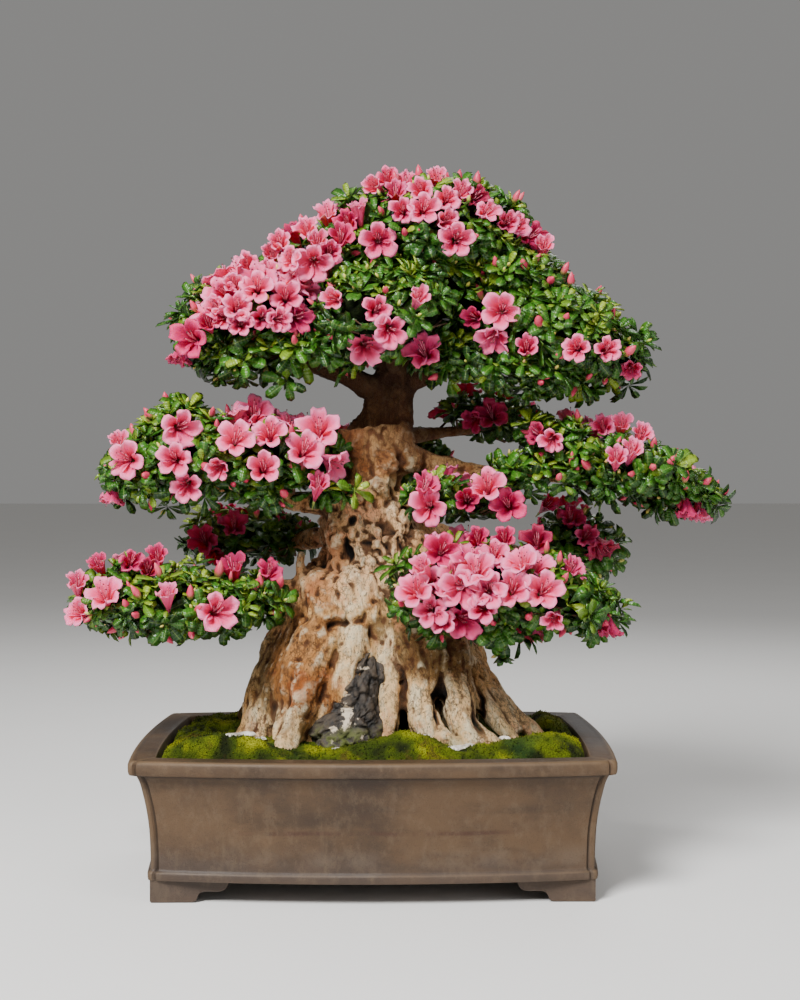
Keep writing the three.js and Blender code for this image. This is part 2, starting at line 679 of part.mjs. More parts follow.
// One flower as a five-lobed funnel. It opens along `axis` round `rim`, the middle of its
// mouth, and runs down to a point at `foot`. `roll` turns it round its axis.
function funnel(rim, axis, foot, roll, size) {
  const side = vec(0, 0, 1).cross(axis);
  if (side.length() < 0.1) side.set(1, 0, 0);
  side.normalize();
  const up = axis.clone().cross(side);
  const at = (radius, angle, height) =>
    rim
      .clone()
      .addScaledVector(side, radius * Math.cos(angle + roll))
      .addScaledVector(up, radius * Math.sin(angle + roll))
      .addScaledVector(axis, height);
  const points = [rim.clone().addScaledVector(axis, -BLOOM.throat), foot];
  const triangles = [];
  for (let lobe = 0; lobe < 5; lobe++) {
    const middle = (2 * Math.PI * lobe) / 5;
    points.push(at(size * BLOOM.notch, middle - Math.PI / 5, -4));
    points.push(at(size, middle - 0.33, 0));
    points.push(at(size, middle + 0.33, 0));
  }
  for (let i = 0; i < 15; i++) {
    const [a, b] = [2 + i, 2 + ((i + 1) % 15)];
    triangles.push([0, a, b], [1, b, a]);
  }
  return solidOf(faceted(points, triangles));
}

// Where a line from `from` along `way` first meets a solid.
function firstHit(geometry, from, way) {
  const mesh = new THREE.Mesh(geometry, new THREE.MeshBasicMaterial({ side: THREE.DoubleSide }));
  mesh.updateMatrixWorld();
  const hits = new THREE.Raycaster(from, way).intersectObject(mesh);
  return hits.length ? hits[0].point : null;
}

// All flowers of all pads, each clear of the twig domes and the wood, with its pad's name.
function makeFlowers(cores, wood) {
  const random = seeded(7);
  const flowers = [];
  const geometries = new Map([...cores].map(([name, core]) => [name, geometryOf(core)]));
  for (const pad of Object.values(PADS)) {
    for (const d of flowerDirections(pad)) {
      const normal = padNormal(pad, d);
      const wanted = normal.clone().add(vec(0, d.y > 0 ? 0.1 : -0.35, 0.2)).normalize();
      const roll = 2 * Math.PI * random();
      const size = BLOOM.radius * (0.9 + 0.2 * random());
      for (const straight of [0, 0.5, 1]) {
        const axis = wanted.clone().lerp(normal, straight).normalize();
        const rim = padPoint(pad, d).addScaledVector(axis, BLOOM.standOff);
        const seat = firstHit(geometries.get(pad.spray), rim, axis.clone().negate());
        if (!seat || seat.distanceTo(rim) > 2.2 * BLOOM.standOff) continue;
        const foot = seat.addScaledVector(axis, 1.6 * CLEARANCE);
        const solid = funnel(rim, axis, foot, roll, size);
        if (crowd(solid, wood) || [...cores.values()].some((core) => crowd(solid, core))) continue;
        const heart = foot.clone().lerp(rim, 0.45);
        flowers.push({ spray: pad.spray, solid, heart });
        break;
      }
    }
  }
  return flowers;
}

// The stalk that joins two flowers of one bunch under their petals.
function pedicel(from, to) {
  const way = to.clone().sub(from).normalize();
  const side = vec(0, 0, 1).cross(way).normalize();
  const up = way.clone().cross(side);
  const ring = (centre) =>
    [0, 1, 2].map((i) => {
      const angle = (2 * Math.PI * i) / 3;
      return centre
        .clone()
        .addScaledVector(side, PEDICEL.thick * Math.cos(angle))
        .addScaledVector(up, PEDICEL.thick * Math.sin(angle));
    });
  return solidOf(loft([ring(from), ring(to)]));
}

// Gathers the flowers in bunches: those that touch hold together, and the nearest others of
// the same spray are joined by a stalk until there are no more bunches than wanted.
function makeBunches(flowers, obstacles) {
  const group = flowers.map((_, i) => i);
  const stalks = [];
  const merge = (i, j) => {
    const [from, to] = [group[i], group[j]];
    for (let k = 0; k < group.length; k++) if (group[k] === from) group[k] = to;
  };
  const pairs = [];
  for (let i = 0; i < flowers.length; i++) {
    for (let j = i + 1; j < flowers.length; j++) {
      const [a, b] = [flowers[i], flowers[j]];
      const gap = a.heart.distanceTo(b.heart);
      if (gap > PEDICEL.longest) continue;
      pairs.push({ i, j, gap: a.spray === b.spray ? gap : Infinity });
      if (!crowd(a.solid, b.solid)) continue;
      if (a.solid.intersect(b.solid).volume() < 1) {
        stalks.push({ i, solid: pedicel(a.heart, b.heart) });
      }
      merge(i, j);
    }
  }
  pairs.sort((a, b) => a.gap - b.gap);
  for (const { i, j, gap } of pairs) {
    if (new Set(group).size <= BUNCHES || gap === Infinity) break;
    if (group[i] === group[j]) continue;
    const solid = pedicel(flowers[i].heart, flowers[j].heart);
    const strangers = flowers.filter((_, k) => group[k] !== group[i] && group[k] !== group[j]);
    const near = [...obstacles, ...strangers.map((f) => f.solid)];
    if (near.some((other) => crowd(solid, other))) continue;
    stalks.push({ i, solid });
    merge(i, j);
  }
  return [...new Set(group)].map((id) => {
    const members = flowers.filter((_, k) => group[k] === id);
    const own = stalks.filter((stalk) => group[stalk.i] === id);
    const solid = thinned(union([...members, ...own].map((m) => m.solid)));
    return { spray: members[0].spray, count: members.length, solid: mainBody(solid) };
  });
}

// ---------------------------------------------------------------- leaves

// One leaf: a kite-shaped blade folded along its rib, with a keel below. It grows from `base`
// towards `way`, turns its face towards `face`, and its root is sunk in the twigs.
function leaf(base, way, face, size) {
  const across = way.clone().cross(face).normalize();
  const above = across.clone().cross(way).normalize();
  const at = (along, aside, high) =>
    base
      .clone()
      .addScaledVector(way, along * size)
      .addScaledVector(across, aside * size)
      .addScaledVector(above, high * size);
  const { length, halfWidth, fold, thick, sunk, droop } = LEAF;
  const points = [
    at(-sunk / size, 0, 0),
    at(0.52 * length, halfWidth, fold),
    at(0.52 * length, -halfWidth, fold),
    at(length, 0, -droop),
    at(0.48 * length, 0, -thick - droop / 4),
  ];
  const [root, right, left, tip, keel] = [0, 1, 2, 3, 4];
  const blade = faceted(points, [
    [root, right, tip],
    [root, tip, left],
    [keel, right, root],
    [keel, tip, right],
    [keel, left, tip],
    [keel, root, left],
  ]);
  return solidOf(blade);
}

// The leaves of one spray, in whorls spread over its pads, clear of all but their own dome.
function makeLeaves(spray, obstacles, random) {
  const own = Object.values(PADS).filter((pad) => pad.spray === spray && pad.leafy !== false);
  const found = [];
  for (const pad of own) {
    for (const d of spreadDirections(Math.round(padArea(pad) / WHORL.spacing ** 2))) {
      const normal = padNormal(pad, d);
      const centre = padPoint(pad, d);
      const side = normal.clone().cross(vec(0.3, 0.2, 0.93)).normalize();
      const start = 2 * Math.PI * random();
      const hidden = d.z < -0.45 || own.some((other) => other !== pad && inside(other, centre));
      for (let i = 0; i < WHORL.leaves && !hidden; i++) {
        const turn = start + (2 * Math.PI * (i + 0.4 * random())) / WHORL.leaves;
        const lean = THREE.MathUtils.lerp(...WHORL.lean, random());
        const outward = side.clone().applyAxisAngle(normal, turn);
        const base = centre.clone().addScaledVector(outward, WHORL.radius);
        const way = outward.clone().multiplyScalar(Math.cos(lean));
        way.addScaledVector(normal, Math.sin(lean));
        for (const size of [1.05, 0.85, 0.65]) {
          const blade = leaf(base, way, normal, size);
          if (obstacles.some((other) => crowd(blade, other))) continue;
          found.push(blade);
          break;
        }
      }
    }
  }
  return found;
}

// The surface of a pad's dome, by Thomsen's formula for an ellipsoid.
function padArea(pad) {
  const [a, b, up] = pad.half;
  const c = (up + pad.under) / 2;
  const power = 1.6;
  const mean = ((a * b) ** power + (a * c) ** power + (b * c) ** power) / 3;
  return 4 * Math.PI * mean ** (1 / power);
}

// A spray's dome with its leaves, in one body that leaves room for the wood.
const growLeaves = (core, leaves) =>
  mainBody(thinned(union([core, ...leaves]).subtract(woodRoom)));

// True where a point lies in the box round a solid.
function reaches(solid, point) {
  const { min, max } = solid.boundingBox();
  return point.toArray().every((v, k) => min[k] - 1 < v && v < max[k] + 1);
}

// True where a point lies inside a pad's dome.
function inside(pad, point) {
  const [a, b, up] = pad.half;
  const p = point.clone().sub(vec(...pad.at));
  p.applyAxisAngle(vec(0, 1, 0), -THREE.MathUtils.degToRad(pad.tilt));
  const c = p.z > 0 ? up : pad.under;
  return (p.x / a) ** 2 + (p.y / b) ** 2 + (p.z / c) ** 2 < 1;
}

// ---------------------------------------------------------------- assembly

const finish = (color, roughness, metalness = 0) =>
  new THREE.MeshStandardMaterial({ color, roughness, metalness });
const MATERIALS = {
  stoneware: finish(0x75604c, 0.72),
  plastic: finish(0x23282a, 0.6),
  soil: finish(0x4a3626, 0.98),
  moss: finish(0x667a1c, 0.97),
  bark: finish(0xb59a78, 0.85),
  stone: finish(0x37353a, 0.9),
  leaf: finish(0x4c7a2c, 0.45),
  petal: finish(0xe4708c, 0.55),
};

const bonsai = new THREE.Group();
bonsai.name = "satsuki_azalea_bonsai";

function addNode(name, solid, material) {
  const mesh = new THREE.Mesh(geometryOf(solid), material);
  mesh.name = name;
  bonsai.add(mesh);
}

const wood = thinned(woodyPlant(0));
const woodRoom = woodyPlant(WOOD_GAP);
const rock = thinned(mainBody(stone(0).subtract(woodRoom)));
const rockRoom = stone(WOOD_GAP);

addNode("pot", thinned(makePot()), MATERIALS.stoneware);
addNode("drain_screen_left", makeScreen(-1), MATERIALS.plastic);
addNode("drain_screen_right", makeScreen(1), MATERIALS.plastic);
addNode("soil", thinned(makeSoil(woodRoom)), MATERIALS.soil);
addNode("moss", thinned(makeMoss(woodRoom, rockRoom)), MATERIALS.moss);
addNode("stone", rock, MATERIALS.stone);
addNode("trunk_roots_branches", wood, MATERIALS.bark);

// Domes first, then flowers on them, then leaves in the room that the flowers leave.
const sprays = [...new Set(Object.values(PADS).map((pad) => pad.spray))];
const cores = new Map();
for (const spray of sprays) {
  const domes = Object.values(PADS).filter((pad) => pad.spray === spray).map(padCore);
  let core = union(domes);
  for (const other of cores.values()) core = core.subtract(other);
  cores.set(spray, mainBody(core.subtract(woodRoom)));
}
const flowers = makeFlowers(cores, woodRoom);
const flowerBunches = makeBunches(flowers, [...cores.values(), woodRoom]);
const flowerCount = new Map();
for (const bunch of flowerBunches) {
  const number = (flowerCount.get(bunch.spray) ?? 0) + 1;
  flowerCount.set(bunch.spray, number);
  const label = String(number).padStart(2, "0");
  addNode(`flowers_${bunch.spray}_${label}`, bunch.solid, MATERIALS.petal);
}

const leafRandom = seeded(11);
const grown = [];
for (const spray of sprays) {
  const others = sprays.filter((name) => name !== spray).map((name) => cores.get(name));
  const obstacles = [...flowerBunches.map((b) => b.solid), ...others, ...grown, rock];
  let leaves = makeLeaves(spray, obstacles, leafRandom);
  let leafy = growLeaves(cores.get(spray), leaves);
  const pinched = pinches(leafy);
  if (pinched.length) {
    leaves = leaves.filter((leaf) => !pinched.some((corner) => reaches(leaf, corner)));
    leafy = growLeaves(cores.get(spray), leaves);
  }
  grown.push(leafy);
  addNode(`leaves_${spray}`, leafy, MATERIALS.leaf);
}

const box = new THREE.Box3().setFromObject(bonsai);
const middle = box.getCenter(vec(0, 0, 0));
for (const mesh of bonsai.children) mesh.position.set(-middle.x, -middle.y, 0);

export default bonsai;
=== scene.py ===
"""Looks of the satsuki azalea bonsai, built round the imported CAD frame.

Sizes are in millimetres, measured from the point on the table under the middle of the pot,
and metres() turns them into the frame's own coordinates.
"""

import math

import bmesh
import bpy
import numpy as np
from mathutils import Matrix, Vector, noise


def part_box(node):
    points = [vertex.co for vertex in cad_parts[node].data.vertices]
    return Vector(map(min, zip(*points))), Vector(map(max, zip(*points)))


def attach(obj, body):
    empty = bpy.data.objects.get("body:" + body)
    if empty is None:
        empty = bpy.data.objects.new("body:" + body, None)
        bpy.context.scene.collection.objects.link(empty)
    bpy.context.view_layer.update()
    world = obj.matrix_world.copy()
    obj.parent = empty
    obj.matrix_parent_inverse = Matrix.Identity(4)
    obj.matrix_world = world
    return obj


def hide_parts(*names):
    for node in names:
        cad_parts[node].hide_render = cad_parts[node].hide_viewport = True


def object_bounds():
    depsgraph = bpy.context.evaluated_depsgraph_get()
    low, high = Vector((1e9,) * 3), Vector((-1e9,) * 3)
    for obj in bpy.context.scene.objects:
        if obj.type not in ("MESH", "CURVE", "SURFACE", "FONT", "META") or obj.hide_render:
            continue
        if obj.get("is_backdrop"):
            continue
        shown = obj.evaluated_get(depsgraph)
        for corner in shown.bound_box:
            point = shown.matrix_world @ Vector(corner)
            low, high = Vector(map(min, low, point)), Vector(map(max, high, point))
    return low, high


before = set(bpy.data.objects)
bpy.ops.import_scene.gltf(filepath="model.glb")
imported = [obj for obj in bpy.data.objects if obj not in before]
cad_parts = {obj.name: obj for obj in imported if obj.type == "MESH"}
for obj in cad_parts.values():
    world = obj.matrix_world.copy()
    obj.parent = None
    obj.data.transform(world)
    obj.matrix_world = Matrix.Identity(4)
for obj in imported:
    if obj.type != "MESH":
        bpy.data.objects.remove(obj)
cad_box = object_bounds()
random = np.random.default_rng(20)

pot_low, pot_high = (np.array(corner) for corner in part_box("pot"))
SHIFT = (pot_low + pot_high) / 2 * [1, 1, 0]
# The camera's place, and its picture: pixels for a slope of 1, and the middle across and down.
EYE = (10, -2008, 470)
FOCUS, MIDDLE_ACROSS, MIDDLE_DOWN = 1660, 382, 479


def metres(points):
    return np.asarray(points, float) / 1000 + SHIFT


# ---------------------------------------------------------------- mesh helpers


def unit(v):
    v = np.asarray(v, float)
    return v / np.maximum(np.linalg.norm(v, axis=-1, keepdims=True), 1e-9)


def add_attribute(mesh, name, kind, field, values):
    values = np.asarray(values, np.float32).ravel()
    mesh.attributes.new(name, kind, "POINT").data.foreach_set(field, values)


def shade(mesh, tone, place):
    """Stores what the materials read: a number and a vector for each point."""
    add_attribute(mesh, "tone", "FLOAT", "value", tone)
    add_attribute(mesh, "place", "FLOAT_VECTOR", "vector", place)


def link(name, data):
    thing = bpy.data.objects.new(name, data)
    bpy.context.scene.collection.objects.link(thing)
    return thing


class Heap:
    """Gathers points and triangles, with a tone, a place and a material index."""

    def __init__(self):
        self.parts = []
        self.count = 0

    def add(self, verts, tris, tone=0.0, place=(0, 0, 0), index=0):
        verts, tris = np.asarray(verts, float), np.asarray(tris, int)
        tone = np.broadcast_to(tone, len(verts))
        place = np.broadcast_to(place, (len(verts), 3))
        self.parts.append((verts, tris + self.count, tone, place, np.full(len(tris), index)))
        self.count += len(verts)

    def piece(self, name, materials, slot, replaces=(), crease=None):
        """Makes one mesh object that rides on the root body."""
        verts, tris, tone, place, indices = (np.concatenate(p) for p in zip(*self.parts))
        mesh = bpy.data.meshes.new(name)
        mesh.vertices.add(len(verts))
        mesh.vertices.foreach_set("co", metres(verts).astype(np.float32).ravel())
        mesh.loops.add(tris.size)
        mesh.loops.foreach_set("vertex_index", tris.astype(np.int32).ravel())
        mesh.polygons.add(len(tris))
        mesh.polygons.foreach_set("loop_start", np.arange(0, tris.size, 3, dtype=np.int32))
        mesh.polygons.foreach_set("material_index", indices.astype(np.int32))
        mesh.polygons.foreach_set("use_smooth", np.full(len(tris), True))
        mesh.update(calc_edges=True)
        mesh.validate()
        shade(mesh, tone, place)
        if crease:
            mesh.set_sharp_from_angle(angle=math.radians(crease))
        for material in materials:
            mesh.materials.append(material)
        piece = link(name, mesh)
        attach(piece, "root")
        if replaces:
            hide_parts(*replaces)
        return piece


def strips(rows, columns, closed=True):
    """Triangles over a grid of rows, each a ring (closed) or a strip of points."""
    tris = []
    last = columns if closed else columns - 1
    for r in range(rows - 1):
        for c in range(last):
            a, b = r * columns + c, r * columns + (c + 1) % columns
            tris += [(a, b, b + columns), (a, b + columns, a + columns)]
    return np.array(tris)


def capped(rings):
    """A closed skin over rings of points that run anticlockwise seen from the last one."""
    rings = np.asarray(rings, float)
    rows, columns, _ = rings.shape
    verts = np.concatenate([rings.reshape(-1, 3), [rings[0].mean(0), rings[-1].mean(0)]])
    foot, top = rows * columns, (rows - 1) * columns
    caps = []
    for c in range(columns):
        n = (c + 1) % columns
        caps += [(foot, n, c), (foot + 1, top + c, top + n)]
    return verts, np.concatenate([strips(rows, columns), caps])


def wheel(count):
    """Angles spread round a circle."""
    return np.linspace(0, 2 * math.pi, count, endpoint=False)


def ring(x, y, z, half_x, half_y, angle, wave=1):
    """Points round an ellipse at one height."""
    return np.stack([x + half_x * wave * np.cos(angle), y + half_y * wave * np.sin(angle),
                     np.full(len(angle), z)], axis=1)


def ellipse(points, x, y, half_x, half_y):
    """0 at the middle of an ellipse, 1 on it and more outside, for points of two numbers."""
    return ((points[..., 0] - x) / half_x) ** 2 + ((points[..., 1] - y) / half_y) ** 2


def smooth_path(stations, steps):
    """Catmull-Rom points through stations of any width, the radius among them."""
    p = np.asarray(stations, float)
    p = np.concatenate([[2 * p[0] - p[1]], p, [2 * p[-1] - p[-2]]])
    found = []
    for t in np.linspace(0, len(p) - 3, steps):
        i = min(int(t), len(p) - 4)
        u = t - i
        a, b, c, d = p[i:i + 4]
        found.append(0.5 * (2 * b + (c - a) * u + (2 * a - 5 * b + 4 * c - d) * u * u
                            + (3 * b - a - 3 * c + d) * u ** 3))
    return np.array(found)


def tube(stations, sides, steps):
    path = smooth_path(stations, steps)
    centres, radii = path[:, :3], np.maximum(path[:, 3], 0.5 * min(s[3] for s in stations))
    way = unit(np.gradient(centres, axis=0))
    side = np.cross([0, 0.05, 1.0], way)
    side = unit(np.where(np.linalg.norm(side, axis=1, keepdims=True) < 0.05, [1, 0, 0], side))
    up = np.cross(way, side)
    angle = wheel(sides)[None, :, None]
    spokes = np.cos(angle) * side[:, None] + np.sin(angle) * up[:, None]
    return capped(centres[:, None] + spokes * radii[:, None, None])


def scatter(template, tris, x, y, z, places, sizes):
    """Copies of a template with their own axes, places and sizes."""
    axes = np.stack([x, y, z], axis=1)
    verts = np.einsum("nj,kji->kni", template, axes) * np.reshape(sizes, (-1, 1, 1))
    verts = verts + np.asarray(places)[:, None]
    faces = tris[None] + (np.arange(len(places)) * len(template))[:, None, None]
    return verts.reshape(-1, 3), faces.reshape(-1, 3)


def fractal(points, scale, octaves=3):
    """Noise from about -1 to 1 at each point."""
    return np.array([noise.fractal(Vector(p), 1.0, 2.0, octaves) for p in np.asarray(points) / scale])


def wander(points, scale, shifts):
    """A vector of noise at each point, one number for each shift."""
    return np.stack([fractal(points + k, scale, 2) for k in shifts], axis=1)


def billows(points, scale):
    """Rounded cushions with creases between them, from about -0.7 to 0.55."""
    found = np.array([noise.voronoi(Vector(p))[0][0] for p in np.asarray(points) / scale])
    return np.clip(1 - (found / 0.78) ** 2, -0.25, 1) - 0.45


# ---------------------------------------------------------------- materials


class Nodes:
    """Short calls for building a material's node tree, coat by coat."""

    def __init__(self, name):
        self.material = bpy.data.materials.new(name)
        self.material.use_nodes = True
        self.tree = self.material.node_tree
        self.shader = self.tree.nodes["Principled BSDF"]
        self.coords = self.make("ShaderNodeTexCoord").outputs["Object"]

    def make(self, kind, inputs=None, **settings):
        node = self.tree.nodes.new(kind)
        for key, value in settings.items():
            setattr(node, key, value)
        for key, value in (inputs or {}).items():
            self.feed(node.inputs[key], value)
        return node

    def feed(self, socket, value):
        if isinstance(value, bpy.types.NodeSocket):
            self.tree.links.new(value, socket)
        else:
            socket.default_value = value

    def tone(self, name="tone"):
        return self.make("ShaderNodeAttribute", attribute_name=name).outputs["Fac"]

    def place(self):
        return self.make("ShaderNodeAttribute", attribute_name="place").outputs["Vector"]

    def axes(self, vector=None):
        """The three numbers of a vector, or of the point itself."""
        vector = self.coords if vector is None else vector
        return self.make("ShaderNodeSeparateXYZ", {0: vector}).outputs[:3]

    def noise(self, scale, detail=4, rough=0.6, stretch=(1, 1, 1)):
        where = self.make("ShaderNodeMapping", {"Vector": self.coords, "Scale": stretch})
        return self.make("ShaderNodeTexNoise", {
            "Vector": where.outputs[0], "Scale": scale, "Detail": detail, "Roughness": rough,
        }).outputs["Fac"]

    def cells(self, scale, vector=None):
        vector = self.coords if vector is None else vector
        return self.make("ShaderNodeTexVoronoi", {"Vector": vector, "Scale": scale}).outputs[0]

    def span(self, value, low, high, to_low=0.0, to_high=1.0):
        return self.make("ShaderNodeMapRange", {
            "Value": value, "From Min": low, "From Max": high, "To Min": to_low,
            "To Max": to_high}, interpolation_type="SMOOTHSTEP").outputs[0]

    def math(self, operation, a, b=0.0):
        return self.make("ShaderNodeMath", {0: a, 1: b}, operation=operation).outputs[0]

    def times(self, a, b):
        return self.math("MULTIPLY", a, b)

    def plus(self, a, b):
        return self.math("ADD", a, b)

    def mix(self, factor, a, b):
        return self.make("ShaderNodeMix", {0: factor, 6: a, 7: b}, data_type="RGBA").outputs[2]

    def base(self, factor, dark, light):
        """The first coat: one colour that goes over into another."""
        self.color = self.mix(factor, rgb(*dark), rgb(*light))

    def coat(self, weight, share, *paint):
        """Lays a colour over the coats so far, by a weight and a share of it."""
        weight = weight if share == 1 else self.times(weight, share)
        self.color = self.mix(weight, self.color, rgb(*paint))

    def bump(self, height, distance, strength=1.0, normal=None):
        below = {} if normal is None else {"Normal": normal}
        return self.make("ShaderNodeBump", {
            "Height": height, "Distance": distance, "Strength": strength, **below}).outputs[0]

    def done(self, roughness, normal=None, **plain):
        self.feed(self.shader.inputs["Base Color"], self.color)
        self.feed(self.shader.inputs["Roughness"], roughness)
        if normal is not None:
            self.feed(self.shader.inputs["Normal"], normal)
        for key, value in plain.items():
            self.shader.inputs[key.replace("_", " ")].default_value = value
        return self.material


def rgb(*color):
    """A linear colour from screen values of 0 to 255."""
    shares = [v / 255 for v in color]
    return (*(v / 12.92 if v < 0.04045 else ((v + 0.055) / 1.055) ** 2.4 for v in shares), 1)


def bark_material():
    n = Nodes("bark")
    tone, height = n.tone(), n.axes()[2]
    bleached, rusty, olive = n.axes(n.place())
    cloud = n.noise(16, 6, 0.7)
    streak = n.noise(46, 6, 0.76, (1, 1, 0.28))
    grain = n.noise(130, 6, 0.8, (1, 1, 0.5))

    def patch(weight, ragged):
        return n.span(n.plus(weight, n.times(n.math("SUBTRACT", ragged, 0.5), 1.9)), 0.3, 0.75)

    n.base(n.span(cloud, 0.38, 0.6), (240, 190, 124), (190, 130, 68))
    n.coat(n.span(streak, 0.49, 0.6), 0.7, 242, 204, 146)
    n.coat(patch(olive, cloud), 0.75, 104, 78, 38)
    n.coat(patch(rusty, streak), 0.75, 172, 106, 46)
    n.coat(n.times(patch(rusty, grain), n.span(cloud, 0.5, 0.6)), 0.6, 160, 76, 26)
    n.coat(patch(bleached, streak), 0.85, 252, 212, 156)
    n.coat(n.times(patch(bleached, grain), n.span(streak, 0.47, 0.6)), 0.85, 255, 236, 194)
    n.coat(n.span(n.noise(34, 6, 0.82, (1, 1, 0.35)), 0.54, 0.61), 0.55, 126, 82, 44)
    middle = n.times(n.span(height, 0.31, 0.36), n.span(height, 0.47, 0.43))
    n.coat(n.span(n.noise(22, 5, 0.7), 0.54, 0.66), n.plus(n.times(middle, 0.3), 0.42), 238, 158, 112)
    n.coat(middle, 0.32, 252, 186, 138)
    bent = n.make("ShaderNodeMapping", {"Vector": n.coords, "Scale": (1, 1, 0.42)}).outputs[0]
    warp = n.make("ShaderNodeTexNoise", {"Vector": n.coords, "Scale": 50.0, "Detail": 3.0})
    bent = n.make("ShaderNodeMix", {0: 0.03, 4: bent, 5: warp.outputs["Color"]}, data_type="VECTOR")
    cracks = n.make("ShaderNodeTexVoronoi", {"Vector": bent.outputs[1], "Scale": 120.0},
                    feature="DISTANCE_TO_EDGE").outputs["Distance"]
    cracks = n.times(n.span(cracks, 0.1, 0.01), n.span(n.noise(28, 4, 0.7), 0.44, 0.56))
    n.coat(cracks, 0.6, 78, 48, 26)
    n.coat(n.span(grain, 0.54, 0.61), 0.58, 106, 68, 38)
    n.coat(n.span(n.noise(310, 5, 0.75, (1, 1, 0.6)), 0.56, 0.64), 0.85, 46, 27, 15)
    # Cream on raised knobs and ridges, where the tone is high: painted highlight.
    painted_highlight = n.times(n.span(tone, 0.2, 0.9), n.span(n.noise(90, 5, 0.7), 0.42, 0.56))
    n.coat(painted_highlight, 0.55, 255, 240, 202)
    # Dark brown in dents and creases and near black in the hollows, where the tone is low: painted shade.
    n.coat(n.span(tone, -0.04, -0.5), 0.9, 92, 52, 24)
    n.coat(n.span(tone, -0.5, -1.2), 1, 18, 10, 6)
    n.coat(n.times(n.span(height, 0.2, 0.16), n.span(cloud, 0.45, 0.6)), 0.45, 96, 98, 34)
    # Darker brown, then near black, up the trunk from the burl into the crown: painted shade.
    painted_shade_height = n.plus(height, n.times(n.math("SUBTRACT", cloud, 0.5), 0.12))
    n.coat(n.span(painted_shade_height, 0.43, 0.52), 0.72, 108, 62, 32)
    n.coat(n.span(painted_shade_height, 0.52, 0.58), 0.75, 52, 30, 19)
    fine = n.bump(n.noise(280, 6, 0.78, (1, 1, 0.5)), 0.003)
    normal = n.bump(grain, 0.007, 1.0, n.bump(cracks, -0.002, 0.9, fine))
    return n.done(n.span(cloud, 0.3, 0.7, 0.66, 0.9), n.bump(streak, 0.011, 0.8, normal),
                  Specular_IOR_Level=0.3)


def leaf_material():
    n = Nodes("leaf")
    tone, place = n.tone(), n.place()
    along, across, _ = n.axes(place)
    # The tone holds the leaf's age, a random mood and painted light: it is higher on leaves that face up.
    n.base(n.span(tone, 0.0, 0.5), (15, 55, 11), (53, 105, 23))
    n.coat(n.span(tone, 0.5, 1.0), 1, 141, 162, 39)
    rib = n.span(n.math("ABSOLUTE", across), 0.13, 0.02)
    n.coat(rib, 0.4, 128, 154, 68)
    veins = n.make("ShaderNodeTexWave", {
        "Vector": place, "Scale": 2.2, "Distortion": 1.5}).outputs["Fac"]
    n.coat(n.span(veins, 0.6, 1.0), 0.14, 111, 143, 55)
    n.coat(n.span(along, 0.88, 1.0), 0.2, 160, 141, 47)
    mottle = n.noise(420, 3, 0.6)
    n.coat(n.span(mottle, 0.42, 0.7), 0.25, 21, 47, 9)
    normal = n.bump(n.math("SUBTRACT", veins, rib), 0.0005, 0.6)
    return n.done(n.span(mottle, 0.3, 0.7, 0.26, 0.4), normal, Specular_IOR_Level=0.45)


def petal_material():
    n = Nodes("petal")
    tone, place = n.tone(), n.place()
    across, along, blotch = n.axes(place)
    # Low tones, given to blooms in the tree's shade, are deeper crimson: painted shade.
    n.base(n.span(tone, -0.5, 0.05), (142, 16, 58), (206, 36, 100))
    n.coat(n.span(tone, -0.1, 0.9), 1, 255, 98, 148)
    n.coat(n.span(along, 0.55, 1.0), n.span(tone, -0.2, 0.6, 0.03, 0.52), 255, 158, 196)
    throat = n.times(n.span(along, 0.46, 0.1), n.span(tone, -0.4, 0.4, 0.75, 0.55))
    deep = n.mix(n.span(tone, -0.3, 0.3), rgb(170, 22, 66), rgb(232, 62, 104))
    n.color = n.mix(throat, n.color, deep)
    rib = n.span(n.math("ABSOLUTE", across), 0.12, 0.0)
    n.coat(n.times(rib, n.span(along, 0.95, 0.4)), 0.4, 226, 68, 114)
    fan = n.make("ShaderNodeTexWave", {
        "Vector": place, "Scale": 3.0, "Distortion": 3.0, "Detail": 3.0}).outputs["Fac"]
    n.coat(n.span(fan, 0.65, 1.0), 0.24, 232, 82, 128)
    dots = n.times(n.times(n.span(n.cells(11.0, place), 0.3, 0.18), blotch), n.span(along, 0.8, 0.55))
    n.coat(dots, 0.85, 158, 16, 56)
    return n.done(n.span(n.noise(300), 0.3, 0.7, 0.45, 0.62), n.bump(fan, 0.0006, 0.5),
                  Subsurface_Weight=0.25, Subsurface_Scale=0.004, Specular_IOR_Level=0.3)


def mottled_material(name, scale, dark, light, rough=(0.5, 0.7), depth=0.0006, gloss=0.5):
    n = Nodes(name)
    grain = n.noise(scale, 5, 0.65)
    n.base(n.span(grain, 0.35, 0.65), dark, light)
    normal = n.bump(n.noise(scale * 2.5, 4), depth, 0.8)
    return n.done(n.span(grain, 0.3, 0.7, *rough), normal, Specular_IOR_Level=gloss)


def bud_material():
    n = Nodes("bud")
    along = n.axes(n.place())[0]
    pink = n.mix(n.span(along, 0.15, 0.5), rgb(120, 128, 52), rgb(206, 50, 88))
    green = n.mix(n.span(along, 0.1, 0.9), rgb(110, 140, 46), rgb(206, 196, 88))
    n.color = n.mix(n.span(n.tone(), 0.4, 0.6), pink, green)
    ribs = n.noise(160, 3, 0.5, (1, 1, 0.3))
    n.coat(n.span(ribs, 0.45, 0.7), 0.4, 236, 128, 130)
    return n.done(n.span(ribs, 0.3, 0.7, 0.35, 0.5), n.bump(ribs, 0.0004, 0.5))


